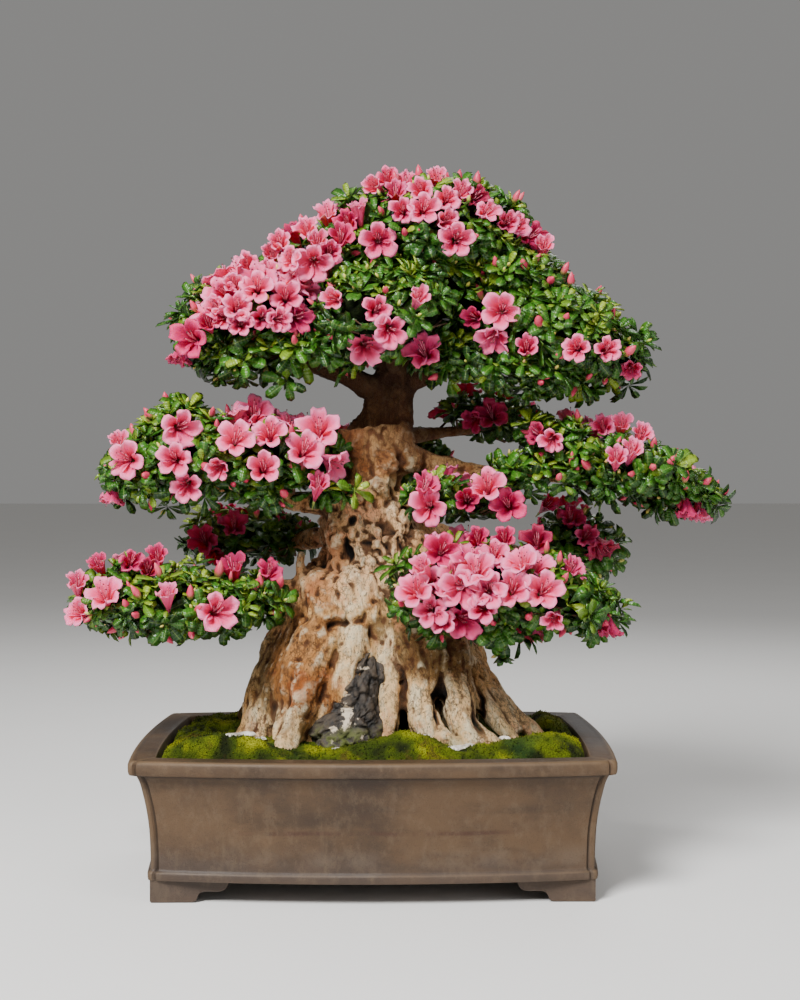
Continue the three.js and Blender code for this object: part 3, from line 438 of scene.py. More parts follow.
def moss_material():
    n = Nodes("moss")
    tone = n.tone()
    n.base(n.span(n.noise(15, 4, 0.6), 0.38, 0.62), (46, 60, 6), (88, 100, 12))
    # Lighter yellow-green on the raised cushions, more so towards the left: painted light.
    painted_sunlight = n.times(n.span(n.noise(17, 5, 0.65), 0.38, 0.6, 0.1, 0.85),
                    n.span(n.axes()[0], -0.02, -0.2, 0.78, 1.15))
    n.coat(n.span(tone, 0.0, 0.8), painted_sunlight, 150, 152, 26)
    # Near black green in the low places between the cushions: painted shade.
    n.coat(n.span(tone, 0.05, -0.6), 1, 20, 26, 5)
    n.coat(n.span(n.noise(19, 5, 0.7), 0.56, 0.66), 0.7, 72, 48, 18)
    n.coat(n.span(n.noise(12, 3, 0.5), 0.58, 0.68), 0.5, 34, 66, 26)
    grain = n.cells(520)
    n.coat(n.span(grain, 0.25, 0.8), 0.45, 28, 34, 6)
    normal = n.bump(grain, 0.0018, 0.8, n.bump(n.noise(130, 5, 0.7), 0.002, 0.7))
    return n.done(n.span(grain, 0.0, 0.8, 0.88, 0.98), normal, Specular_IOR_Level=0.15)


def stoneware_material():
    n = Nodes("stoneware")
    x, _, height = n.axes()
    cloud = n.noise(6, 6, 0.62, (1, 1, 1.3))
    n.base(n.span(cloud, 0.36, 0.64), (52, 38, 26), (82, 62, 42))
    n.coat(n.span(n.noise(9, 5, 0.6, (0.6, 0.6, 2.2)), 0.5, 0.66), 0.55, 46, 34, 24)
    low = n.span(n.plus(height, n.times(n.noise(16, 3), 0.03)), 0.078, 0.045)
    n.coat(low, 0.5, 71, 60, 53)
    # A dark line that water left on the front, and the lime below it.
    wave = n.plus(height, n.times(n.noise(4, 3, 0.6, (1, 1, 0)), 0.012))
    line = n.times(n.span(wave, 0.0835, 0.086), n.span(wave, 0.091, 0.0875))
    line = n.times(line, n.span(n.math("ABSOLUTE", n.plus(x, 0.025)), 0.17, 0.12))
    line = n.times(line, n.span(n.noise(14, 5, 0.7, (1, 1, 0)), 0.4, 0.56))
    n.coat(line, 0.6, 56, 29, 20)
    lime = n.times(n.span(wave, 0.045, 0.055), n.span(wave, 0.078, 0.056))
    n.coat(n.times(lime, n.span(n.noise(26, 6, 0.7), 0.38, 0.68)), 0.32, 100, 88, 76)
    n.coat(n.span(n.noise(64, 6, 0.78, (1, 1, 0.6)), 0.47, 0.64), 0.22, 104, 88, 70)
    n.coat(n.span(n.noise(42, 4, 0.7, (1, 1, 0.12)), 0.6, 0.72), 0.25, 96, 80, 60)
    n.coat(n.span(n.cells(520), 0.24, 0.12), 0.6, 32, 24, 18)
    n.coat(n.span(n.noise(30, 6, 0.7), 0.62, 0.74), 0.3, 109, 89, 66)
    # Lighter on the lip, the foot band and the corner beads, where the tone is high: painted highlight.
    # Darker in the corner grooves and under the lip, where it is low: painted shade.
    n.coat(n.span(n.tone(), 0.15, 0.9), 0.5, 107, 86, 62)
    n.coat(n.span(n.tone(), -0.15, -0.9), 0.7, 32, 24, 18)
    fine = n.bump(n.noise(650, 4, 0.7), 0.0005, 0.7)
    normal = n.bump(n.noise(48, 5, 0.6), 0.0018, 0.5, fine)
    return n.done(n.span(cloud, 0.3, 0.7, 0.48, 0.7), normal, Specular_IOR_Level=0.35)


def rock_material():
    n = Nodes("dark_rock")
    tone = n.tone()
    grain = n.noise(60, 6, 0.7)
    n.base(n.span(grain, 0.35, 0.65), (23, 18, 14), (66, 55, 43))
    # Near black along the cracks between the blocks, where the tone is low: painted shade. A little lighter
    # on some blocks' faces.
    n.coat(n.span(tone, 0.0, -0.8), 1, 10, 8, 8)
    n.coat(n.span(tone, 0.4, 1.0), 0.35, 100, 85, 66)
    ragged = n.times(n.math("SUBTRACT", n.noise(90, 6, 0.75), 0.5), 3.2)
    n.coat(n.span(n.plus(n.tone("place"), ragged), 0.5, 0.75), 0.85, 212, 194, 168)
    n.coat(n.span(n.axes()[2], 0.195, 0.165), n.span(grain, 0.45, 0.6), 88, 98, 34)
    normal = n.bump(n.noise(160, 5, 0.75), 0.002, 0.9, n.bump(grain, 0.003, 0.9))
    return n.done(n.span(grain, 0.3, 0.7, 0.5, 0.75), normal)


BARK, LEAF, PETAL, BUD, MOSS = (
    bark_material(), leaf_material(), petal_material(), bud_material(), moss_material())
STAMEN = mottled_material("stamen", 300, (208, 76, 112), (244, 150, 172))
ANTHER = mottled_material("anther", 900, (70, 26, 40), (120, 60, 64))
CALYX = mottled_material("calyx", 260, (92, 110, 40), (140, 148, 66))
TWIG = mottled_material("twig", 160, (62, 44, 30), (118, 88, 62), (0.7, 0.9))
# Near black and dull, for the domes inside the pads: painted shade.
SHADE_CORE = mottled_material("pad_shade_core", 90, (6, 9, 4), (20, 28, 10), (0.9, 0.98), 0.006, 0.05)
CHIP = mottled_material("stone_chip", 120, (150, 140, 126), (226, 220, 208), (0.7, 0.9))
SOIL = mottled_material("soil", 240, (40, 28, 20), (92, 68, 48), (0.85, 0.98), 0.003)
SCREEN = mottled_material("plastic_mesh", 260, (22, 25, 26), (48, 52, 52))

# ---------------------------------------------------------------- pot

# Half the pot's length and depth, the height and width of its rim, how far its walls bow, and
# the size of its corners.
HALF_X, HALF_Y, POT_TOP, RIM_WIDTH = 270, 192, 161, 28
BOW_FRONT, BOW_SIDE, BEAD = 20, 8, 11
FLOOR_UNDER, FLOOR_TOP, SOIL_TOP = 25, 38, 147
DRAIN_X, DRAIN_RADIUS, MOSS_GAP = 125, 15, 33
# The feet: how far they stand in from the rim, how thick their boards are, and each board's
# length, start and whether it runs along the side of the pot.
FOOT_INSET, FOOT_DEPTH, FOOT_BOARDS = 22.5, 15, ((87, 0, False), (70, 14.5, True))
# Sharper edges of the pot than this, in degrees, are drawn hard.
POT_CREASE = 38


def pot_outline(z, inset, groove, bow):
    """The pot's outline at one level, with the tone of each point."""
    # The corners' tone is low in their grooves, painted shade, and high at the bead's edges, painted
    # highlight.
    corner = [(-BEAD, 0, 0), (-BEAD + 0.8, -1.9 * groove, -groove),
              (-BEAD + 2, -2.6 * groove, -groove), (-BEAD + 3.6, -2 * groove, -0.4 * groove),
              (-BEAD + 5, -1.1, 0.3), (-3.4, -1.5, 0.8)]
    corner += [(b, a, t) for a, b, t in reversed(corner)]
    points = []
    for quarter in range(4):
        long = quarter % 2 == 1
        along, out = (HALF_X, HALF_Y) if long else (HALF_Y, HALF_X)
        along, out = along - inset, out - inset
        size = bow * (BOW_FRONT if long else BOW_SIDE)
        shares = np.linspace(-1, 1, 56 if long else 40)[1:-1]
        local = [(-along - after, out + before, t) for before, after, t in corner]
        local += [(s * (along - BEAD), out + size * (1 - s * s), 0) for s in shares]
        turn = [(0, 1, 1, 0), (-1, 0, 0, 1), (0, -1, -1, 0), (1, 0, 0, -1)][quarter]
        points += [(turn[0] * s + turn[1] * t, turn[2] * s + turn[3] * t, z, tone)
                   for s, t, tone in local]
    return np.array(points)


def pot_profile():
    """Levels from the underside up the outside and down the inside, as height, inset,
    depth of the corner grooves and tone."""
    # The tone is high on the lip and the foot band, painted highlight, and low under the lip, above the band
    # and at the inner step, painted shade.
    wall = [(36.5, 21.6, 1, -0.5), (40, 22, 1, 0), (60, 21.6, 1, 0), (82, 20.5, 1, 0),
            (105, 17.6, 1, 0), (122, 14.4, 1, 0), (133, 11.9, 1, 0), (140, 9.4, 1, -0.3),
            (143, 8, 1, -0.8)]
    curve = smooth_path(wall, 34)
    rim = [(144.4, 3.4, 1, -0.3), (145.2, 1.2, 1, 0.2), (147.5, 0.2, 1, 0.2), (152, 0, 1, 0.1),
           (156.5, 0.1, 1, 0.3), (159, 0.9, 1, 0.8), (160.6, 2.6, 1, 0.9), (POT_TOP, 4.4, 0.9, 0.6),
           (160.7, 6.2, 0.8, 0), (160.4, 7.4, 0.6, -0.5), (160.6, 9, 0.5, 0),
           (POT_TOP, 13, 0.3, 0.1), (POT_TOP, 20, 0.2, 0), (160.8, 25, 0.2, 0.2),
           (159.8, 27.4, 0.2, 0.7), (157.5, 28.4, 0.2, 0.3), (148, 29.4, 0.2, 0),
           (FLOOR_TOP, 32, 0.2, 0)]
    base = [(FLOOR_UNDER, 21.5, 0.4, 0), (25.4, 19.8, 1, 0.4), (27, 19, 1, 0.3),
            (32.5, 19, 1, 0.2), (34.4, 19.6, 1, 0.6), (35.4, 20.8, 1, 0)]
    return np.concatenate([base, curve, rim])


def foot_wing(length, start):
    """A cloud-cut board along +X, as points and triangles."""
    top = FLOOR_UNDER + 2
    curve = smooth_path([(0.54, 0.4), (0.585, 2.2), (0.61, 6.5), (0.635, 10), (0.68, 12),
                         (0.76, 12.4), (0.86, 12.2), (0.93, 13.4), (0.975, 16.5), (1.0, 21),
                         (1.0, top)], 34)
    outline = np.array([(start, 1.5), (start + 1.5, 0)] + [(u * length, z) for u, z in curve])
    rings = []
    for share in (1, 0.94, 0.06, 0):
        lift = 0.8 if share in (0, 1) else 0
        rings.append([(x, share * FOOT_DEPTH, z + lift) for x, z in outline])
        rings[-1] += [(x, share * FOOT_DEPTH, top) for x in np.linspace(length, start, 12)[1:]]
    return capped(rings)


def make_pot():
    heap = Heap()
    profile = pot_profile()
    bows = np.interp(np.arange(len(profile)), [len(profile) - 12, len(profile) - 6], [1, 0.75])
    rings = np.array([pot_outline(z, inset, g, bow)
                      for (z, inset, g, _), bow in zip(profile, bows)])
    tone = rings[:, :, 3] * 0.8 + profile[:, 3][:, None]
    verts, tris = capped(rings[:, :, :3])
    swell = fractal(verts, 60, 2) * 0.5
    flat = (verts[:, 2] > 27) & (verts[:, 2] < 143)
    verts[:, :2] *= 1 + (swell * flat / 300)[:, None]
    heap.add(verts, tris, np.concatenate([tone.ravel(), [0, 0]]))
    pot = heap.piece("pot_fired", [stoneware_material()], "stoneware", ["pot"], crease=POT_CREASE)
    cut_drains(pot)
    make_feet(pot.data.materials[0])


def cut_drains(pot):
    cutters = []
    for side in (-1, 1):
        v, t = tube([(side * DRAIN_X, y, z, DRAIN_RADIUS) for y, z in ((0, 15), (0.1, 55))], 32, 2)
        mesh = bpy.data.meshes.new("drain_cutter")
        mesh.from_pydata(metres(v).tolist(), [], t.tolist())
        cutter = link("drain_cutter", mesh)
        hole = pot.modifiers.new("drain", "BOOLEAN")
        hole.operation, hole.object, hole.solver = "DIFFERENCE", cutter, "EXACT"
        cutters.append(cutter)
    bake_modifiers(pot)
    for cutter in cutters:
        bpy.data.objects.remove(cutter)


def make_feet(material):
    heap = Heap()
    for sx in (-1, 1):
        for sy in (-1, 1):
            for length, start, turned in FOOT_BOARDS:
                v, t = foot_wing(length, start)
                if turned:
                    v, t = v[:, [1, 0, 2]], t[:, ::-1]
                v = v + [FOOT_INSET - HALF_X, FOOT_INSET - HALF_Y, 0]
                v = v * [-sx, -sy, 1]
                if sx * sy < 0:
                    t = t[:, ::-1]
                heap.add(v, t, 0.25 * (v[:, 2] < 2))
    heap.piece("pot_feet", [material], "stoneware", crease=POT_CREASE)


def bake_modifiers(piece):
    """Applies a piece's modifiers to its mesh."""
    graph = bpy.context.evaluated_depsgraph_get()
    mesh = bpy.data.meshes.new_from_object(piece.evaluated_get(graph))
    piece.modifiers.clear()
    piece.data = mesh


# ---------------------------------------------------------------- woody plant

# The trunk's levels: z, x, y and half sizes to the side and front.
TRUNK = [
    (118, -4, 22, 96, 72), (170, -5, 22, 108, 80), (225, -6, 18, 113, 80), (275, -6, 10, 108, 78),
    (318, -6, 4, 90, 70), (348, -8, 2, 68, 60), (376, -7, 0, 56, 51), (418, -11, 0, 58, 50),
    (445, -7, 0, 45, 43), (465, -3, 1, 38, 40), (492, 4, 3, 41, 40), (520, 9, 6, 39, 38),
    (545, 14, 10, 31, 31), (590, 26, 16, 26, 26), (650, 34, 12, 19, 19), (705, 40, 6, 12, 12),
    (745, 46, 2, 7, 7),
]
# Limbs as stations of x, y, z and radius.
ROOTS = [
    [(-76, -8, 335, 26), (-100, -24, 268, 29), (-127, -44, 200, 24), (-150, -58, 163, 16),
     (-170, -66, 138, 10)],
    [(-46, -44, 328, 30), (-74, -66, 250, 30), (-94, -92, 195, 23), (-105, -116, 163, 17),
     (-112, -128, 136, 10)],
    [(-14, -44, 318, 30), (-24, -62, 262, 26), (-42, -76, 214, 20), (-64, -84, 170, 14),
     (-74, -88, 136, 11)],
    [(8, -44, 300, 22), (20, -70, 244, 15), (18, -82, 200, 15), (15, -90, 165, 13), (15, -94, 136, 10)],
    [(38, -42, 312, 32), (50, -64, 250, 27), (55, -82, 205, 18), (60, -98, 170, 14), (64, -110, 136, 10)],
    [(78, -28, 290, 30), (92, -56, 238, 24), (101, -78, 202, 20), (114, -96, 168, 15), (128, -106, 140, 10)],
    [(86, 2, 285, 26), (112, -24, 228, 17), (138, -46, 194, 13), (160, -62, 168, 9), (178, -72, 138, 7)],
    [(92, 22, 280, 26), (122, 4, 234, 18), (152, -12, 202, 14), (180, -24, 177, 11), (214, -34, 148, 7)],
    [(96, 56, 280, 28), (132, 84, 215, 20), (160, 104, 172, 13), (176, 116, 138, 9)],
    [(30, 66, 290, 32), (48, 104, 220, 24), (66, 128, 172, 15), (76, 140, 138, 10)],
    [(-46, 62, 295, 32), (-58, 102, 222, 24), (-66, 130, 172, 15), (-72, 142, 138, 10)],
    [(-92, 44, 290, 30), (-128, 80, 218, 22), (-158, 104, 172, 14), (-176, 116, 138, 9)],
]
BRANCHES = {
    "left_middle": [(-30, -4, 438, 18), (-100, -24, 446, 13), (-180, -42, 462, 9), (-250, -48, 470, 5)],
    "left_low": [(-64, 4, 340, 18), (-130, -22, 330, 13), (-205, -50, 305, 9), (-290, -60, 300, 5)],
    "stub": [(-72, -14, 312, 20), (-84, -20, 342, 11), (-88, -21, 364, 7), (-86, -21, 384, 5)],
    "left_back": [(-30, 24, 405, 15), (-100, 84, 392, 10), (-170, 116, 380, 6)],
    "right_middle": [(20, 6, 505, 17), (110, -8, 478, 13), (205, -22, 476, 10), (300, -28, 462, 7),
                     (372, -28, 432, 4)],
    "right_low": [(30, -10, 392, 18), (98, -58, 362, 13), (160, -96, 326, 9), (230, -108, 312, 5)],
    "right_upper": [(26, -14, 448, 10), (84, -44, 440, 7), (130, -56, 436, 4)],
    "right_back": [(34, 20, 420, 14), (140, 64, 386, 10), (240, 76, 372, 6)],
    "back_right": [(20, 24, 520, 12), (80, 76, 528, 8), (140, 108, 534, 5)],
    "back": [(-4, 30, 470, 14), (-4, 100, 468, 10), (0, 150, 478, 6)],
    "crown_left": [(22, 14, 570, 17), (-50, -8, 600, 13), (-120, -22, 620, 9), (-190, -26, 628, 5)],
    "crown_right": [(28, 16, 585, 16), (110, 0, 612, 12), (190, -14, 614, 9), (270, -22, 592, 5)],
    "crown_front": [(28, 14, 600, 13), (20, -54, 622, 9), (14, -112, 630, 5)],
    "crown_back": [(30, 16, 610, 13), (34, 80, 636, 9), (30, 130, 650, 5)],
}
CUT_STUB = [(-6, -8, 430, 26), (-8, -16, 480, 25), (-7, -20, 515, 27), (-6, -21, 541, 29)]
# Low ridges that fill the skirt of roots, and toes of the right-hand ones.
WEBS = [
    [(-40, -42, 320, 26), (-56, -58, 256, 24), (-72, -72, 202, 20), (-86, -84, 152, 14)],
    [(-74, -18, 330, 26), (-92, -42, 262, 26), (-112, -58, 200, 23), (-130, -68, 152, 16)],
    [(24, -44, 305, 26), (34, -62, 266, 21), (38, -68, 238, 15)],
    [(60, -36, 300, 30), (72, -54, 260, 26), (78, -64, 236, 18)],
    [(96, 16, 268, 24), (122, -8, 226, 21), (146, -30, 194, 16), (170, -44, 168, 10)],
    [(58, -84, 205, 13), (76, -100, 178, 9), (98, -110, 162, 8), (116, -116, 146, 6)],
    [(104, -80, 196, 11), (128, -94, 172, 9), (150, -98, 158, 7), (166, -100, 146, 5)],
    [(96, 26, 262, 20), (112, 20, 214, 14), (120, 10, 170, 12)],
]
# Ridges and grooves of the front: x and z of both ends, half width, and how far out.
RELIEF = [(-80, 306, -50, 299, 5, -6), (-50, 299, -14, 303, 5, -7), (-90, 262, -99, 217, 5, -6),
          (-99, 217, -122, 165, 7, -9), (-60, 286, -74, 240, 5, -4), (-8, 310, 0, 286, 5, -5),
          (18, 276, 35, 236, 4, -4), (35, 232, 34, 180, 4, -6), (83, 240, 76, 222, 6, -7),
          (116, 246, 127, 205, 6, -8), (-5, 524, -3, 476, 5, -3), (-10, 447, 26, 442, 6, -4),
          (30, 500, 28, 460, 4, -4), (-44, 436, -35, 410, 5, -4), (-38, 392, -42, 364, 5, -5),
          (-88, 352, -62, 318, 6, 4), (-64, 350, -40, 314, 6, 4), (-40, 344, -18, 312, 6, 5),
          (-18, 296, -42, 226, 12, 4), (46, 300, 84, 262, 9, 4), (20, 300, 34, 262, 8, 3),
          (60, 270, 66, 226, 6, -4), (-66, 268, -82, 206, 7, 5), (-118, 240, -136, 190, 8, 4)]
# Patches of colour: x, z, half width and height, and 0 for pale, 1 for rust, 2 for olive.
PATCHES = [(-26, 336, 24, 20, 0), (-28, 264, 18, 38, 0), (-136, 184, 15, 24, 0),
           (-102, 180, 18, 24, 0), (16, 222, 12, 60, 0), (55, 188, 20, 26, 0), (102, 196, 20, 40, 0),
           (150, 192, 50, 30, 0), (36, 414, 20, 22, 0), (14, 350, 26, 20, 0), (40, 330, 16, 22, 0),
           (-6, 378, 20, 22, 0), (8, 462, 12, 10, 0), (24, 376, 24, 22, 0),
           (-14, 352, 26, 16, 0), (0, 410, 14, 12, 0), (-86, 266, 30, 46, 1), (-52, 300, 42, 9, 1),
           (-24, 496, 14, 42, 1), (-54, 384, 14, 28, 1), (-4, 324, 9, 9, 1), (-44, 366, 9, 18, 1),
           (-58, 232, 20, 26, 1), (20, 490, 16, 16, 1), (98, 214, 9, 7, 1), (22, 386, 10, 8, 1),
           (62, 276, 44, 40, 2), (-60, 424, 14, 26, 2), (98, 256, 26, 30, 2), (-112, 262, 9, 34, 2),
           (12, 292, 20, 14, 2), (40, 500, 12, 30, 2), (0, 432, 26, 8, 2), (82, 224, 10, 22, 2),
           (-120, 232, 18, 48, 2), (-102, 226, 10, 44, 1), (-88, 214, 10, 40, 2), (72, 188, 60, 40, 0),
           (16, 398, 34, 44, 0), (-58, 330, 20, 18, 1), (-112, 250, 16, 22, 2)]
# Lumps of the wood: x, y, z and radius.
BURLS = [(-62, -34, 332, 30), (-4, -68, 324, 9), (52, -34, 398, 12), (16, -54, 352, 14),
         (38, -44, 372, 13), (-4, -52, 372, 12), (28, -46, 404, 14), (44, -16, 488, 14),
         (-14, -20, 512, 27), (18, -34, 489, 14), (44, -14, 494, 17), (-30, -40, 338, 33),
         (28, -34, 372, 26), (58, -10, 345, 36), (6, -40, 466, 13), (-30, -34, 400, 22),
         (30, -26, 415, 18), (-40, -30, 372, 18), (8, -46, 398, 15), (-26, -34, 440, 15)]
# Hollows on the front, sunk in and painted dark as shade: x, z, half width, half height and depth.
HOLLOWS = [(-32, 392, 5, 12, 17), (-25, 421, 5, 5, 7), (34, 174, 9, 15, 14), (77, 204, 8, 17, 16),
           (126, 194, 7, 20, 12)]
# Where the saw cut a thick stub: x and y of its middle, its radius, the band of heights that
# belongs to it, and the level of the cut.
CUT_X, CUT_Y, CUT_RADIUS, CUT_FROM, CUT_TO, CUT_LEVEL = -6, -22, 38, 515, 565, 531
VOXEL, WOOD_TRIANGLES = 2.4, 187000
# How often the joined limbs are eased, and how often their skin is blurred to find its dents.
EASE_STEPS, DENT_STEPS = 14, 6


def skeleton():
    """Segments of all limbs: starts, ends and their radii."""
    chains = [[(x, y, z, (a + b) / 2) for z, x, y, a, b in TRUNK], *ROOTS, *BRANCHES.values()]
    pairs = [(p, q) for chain in chains for p, q in zip(chain, chain[1:])]
    return np.array([p for p, _ in pairs], float), np.array([q for _, q in pairs], float)


def limb_of(points):
    """The direction and radius of the limb nearest to each point."""
    starts, ends = skeleton()
    way = ends[:, :3] - starts[:, :3]
    share = np.einsum("nsj,sj->ns", points[:, None] - starts[None, :, :3], way)
    share = np.clip(share / (way ** 2).sum(1), 0, 1)
    nearest = starts[None, :, :3] + share[..., None] * way[None]
    radius = starts[:, 3] + share * (ends[:, 3] - starts[:, 3])
    gap = np.linalg.norm(points[:, None] - nearest, axis=2) - radius
    pick = gap.argmin(1)
    rows = np.arange(len(points))
    return unit(way)[pick], radius[rows, pick]


def trunk_rings():
    angle = wheel(56)
    rings = []
    for z, x, y, a, b in smooth_path(TRUNK, 70):
        ribs = 1 + 0.07 * np.sin(3 * angle + z / 55) + 0.05 * np.sin(5 * angle - z / 34)
        rings.append(ring(x, y, z, a, b, angle, ribs))
    return rings


def make_wood():
    heap = Heap()
    heap.add(*capped(trunk_rings()))
    for stations in ROOTS + WEBS:
        x, y, z, radius = stations[0]
        inside = (0.55 * x, 0.5 * y + 4, z + 38, 0.7 * radius)
        heap.add(*tube([inside, *stations], 20, 46))
    for stations in BRANCHES.values():
        heap.add(*tube(stations, 12, 24))
    for x, y, z, radius in BURLS:
        shape = ((-1, 2), (-0.7, radius * 0.72), (0, radius), (0.7, radius * 0.72), (1, 2))
        heap.add(*tube([(x, y, z + radius * rise, wide) for rise, wide in shape], 16, 18))
    heap.add(*tube(CUT_STUB, 24, 16))
    wood = heap.piece("wood_skin", [BARK], "bark", ["trunk_roots_branches"])
    voxels = wood.modifiers.new("join", "REMESH")
    voxels.mode, voxels.voxel_size, voxels.use_smooth_shade = "VOXEL", VOXEL / 1000, True
    ease = wood.modifiers.new("ease", "SMOOTH")
    ease.factor, ease.iterations = 0.5, 3
    bake_modifiers(wood)
    sculpt_wood(wood.data)
    thin = wood.modifiers.new("thin", "DECIMATE")
    thin.ratio = min(1, WOOD_TRIANGLES / sum(len(face.vertices) - 2 for face in wood.data.polygons))
    bake_modifiers(wood)


def sculpt_wood(mesh):
    """Moves the joined limbs' points to make the bark's relief, and stores its tones."""
    points, normals = points_of(mesh)
    way, radius = limb_of(points)
    full = np.clip(radius / 26, 0.12, 1)
    blurred = blur_of(mesh, len(points))
    for _ in range(EASE_STEPS):
        points = points + 0.5 * full[:, None] * (blurred(points) - points)
    along = (points * way).sum(1, keepdims=True) * way
    streaked = points - 0.6 * along
    height = points[:, 2]
    gnarled = np.exp(-((height - 392) / 72) ** 2) + 0.35 * np.exp(-((height - 478) / 40) ** 2)
    gnarled *= np.where((height > 448) & (points[:, 0] < -6), 0.15, 1)
    lumps = fractal(points, 52, 2) * 6 + fractal(points + 30, 24, 2) * 2.6
    furrows = fractal(streaked, 10, 3)
    legs = np.clip((335 - height) / 60, 0, 1)
    flutes = legs * (1 - 2.4 * np.abs(fractal(points - 0.85 * along + 20, 17, 2)))
    creases = np.clip(np.abs(fractal(points - 0.4 * along + 70, 22, 3)) / 0.14, 0, 1) - 1
    creases *= 0.35 + gnarled
    folds = fractal(streaked, 26, 2)
    knobs = 0.6 * billows(points, 24) + 0.65 * billows(points + 40, 13)
    pores = billows(points + 90, 7)
    flat = points[:, [0, 2]] + 6 * wander(points, 26, (60, -60))
    front = np.clip(0.7 - 1.6 * normals[:, 1], 0, 1) * (points[:, 1] < 25)
    push = (lumps + furrows * 2.2 + folds * 1.8 + flutes * 1.8 + knobs * (1.2 + 2.7 * gnarled)
            + pores * (0.8 + 1.2 * gnarled) + fractal(points - 30, 5, 2) * (0.3 + 0.7 * gnarled)
            + creases * 2.2) + front * relief(flat)
    hollow = np.zeros(len(points))
    for x, z, half_x, half_z, depth in HOLLOWS:
        near = front * np.exp(-ellipse(flat, x, z, half_x, half_z))
        hollow += near
        push = push - depth * near
    push = push * full
    push = np.where(push > 5, 5 + (push - 5) * 0.4, push)
    moved = points + normals * push[:, None]
    cut = np.hypot(points[:, 0] - CUT_X, points[:, 1] - CUT_Y) < CUT_RADIUS
    cut &= (height > CUT_FROM) & (height < CUT_TO) & (points[:, 1] < -2)
    level = CUT_LEVEL + 3 * folds + 2.5 * furrows + 0.12 * (points[:, 0] - CUT_X)
    moved[cut, 2] = np.minimum(moved[cut, 2], level[cut])
    mesh.vertices.foreach_set("co", metres(moved).astype(np.float32).ravel())
    wide = moved
    for _ in range(DENT_STEPS):
        wide = blurred(wide)
    dents = blurred(np.clip(((wide - moved) * normals).sum(1), -1.5, 1.5))
    # The tone is low in dents, creases and hollows and high on knobs and ridges; the bark paints it as shade
    # and highlight.
    tone = (0.25 * furrows + 0.15 * folds + 0.4 * (knobs - 0.1) * gnarled + 0.15 * flutes
            + 0.35 * creases - 0.6 * dents)
    tone = tone - 1.3 * hollow
    shade(mesh, tone, patches(flat))
    mesh.update()


def points_of(mesh):
    """A mesh's points in millimetres and its normals."""
    flat, normals = (np.empty(len(mesh.vertices) * 3, np.float32) for _ in range(2))
    mesh.vertices.foreach_get("co", flat)
    mesh.vertex_normals.foreach_get("vector", normals)
    return (flat.reshape(-1, 3).astype(float) - SHIFT) * 1000, normals.reshape(-1, 3)


def blur_of(mesh, count):
    """A function that averages values over the neighbours of each point."""
    ends = np.empty(len(mesh.edges) * 2, np.int32)
    mesh.edges.foreach_get("vertices", ends)
    a, b = ends.reshape(-1, 2).T
    links = np.maximum(np.bincount(a, minlength=count) + np.bincount(b, minlength=count), 1)

    def blurred(values):
        columns = values.reshape(count, -1)
        total = np.stack([np.bincount(a, column[b], count) + np.bincount(b, column[a], count)
                          for column in columns.T], axis=1)
        return (total / links[:, None]).reshape(values.shape)

    return blurred


def relief(flat):
    """How far the ridges and grooves of the front move points at each x and z."""
    push = np.zeros(len(flat))
    for x0, z0, x1, z1, wide, out in RELIEF:
        way = np.array([x1 - x0, z1 - z0])
        apart = flat - [x0, z0]
        share = np.clip(apart @ way / (way @ way), 0, 1)
        far = np.linalg.norm(apart - share[:, None] * way, axis=1) / wide
        push += out * np.exp(-far ** 2)
    return push


def patches(flat):
    """How pale, rusty and olive the bark is at each x and z."""
    found = np.zeros((len(flat), 3))
    for x, z, wide, high, kind in PATCHES:
        near = np.exp(-0.5 * ellipse(flat, x, z, wide, high) ** 1.5)
        found[:, kind] = np.maximum(found[:, kind], near)
    return found


# ---------------------------------------------------------------- stone, moss and soil

STONE = [(148, -34, -86, 44, 32), (178, -30, -86, 40, 30), (208, -20, -78, 30, 27),
         (240, -8, -70, 20, 24), (262, -4, -62, 12, 20), (276, -4, -56, 5, 12)]

# White crusts on the front of the stone: x, z, half width and height.
CHALK = [(-11, 251, 8, 3), (-30, 198, 7, 17), (-44, 184, 4, 5), (-14, 176, 4, 5), (-46, 172, 3, 4),
         (-32, 222, 6, 3)]
# Cushions of moss: middle x and y, half width and depth, and rise.
MOUNDS = [(48, -146, 42, 24, 9), (190, -130, 62, 36, 11), (-196, -128, 56, 34, 10),
          (-112, -150, 44, 20, 5), (118, -150, 34, 18, 6), (-28, -154, 38, 16, 4),
          (-214, 20, 30, 60, 8), (222, 40, 26, 70, 8), (-60, 150, 70, 26, 7), (90, 146, 80, 28, 8)]
# Pale flakes of stone on the moss: x, y and half size.
CHIPS = [(-161, -110, 14), (-144, -120, 8), (-178, -106, 9), (96, -136, 9), (108, -128, 6),
         (60, -132, 5), (-40, -138, 5), (150, -120, 6), (-128, -128, 5), (-196, -104, 5),
         (190, -80, 6), (30, -126, 5)]


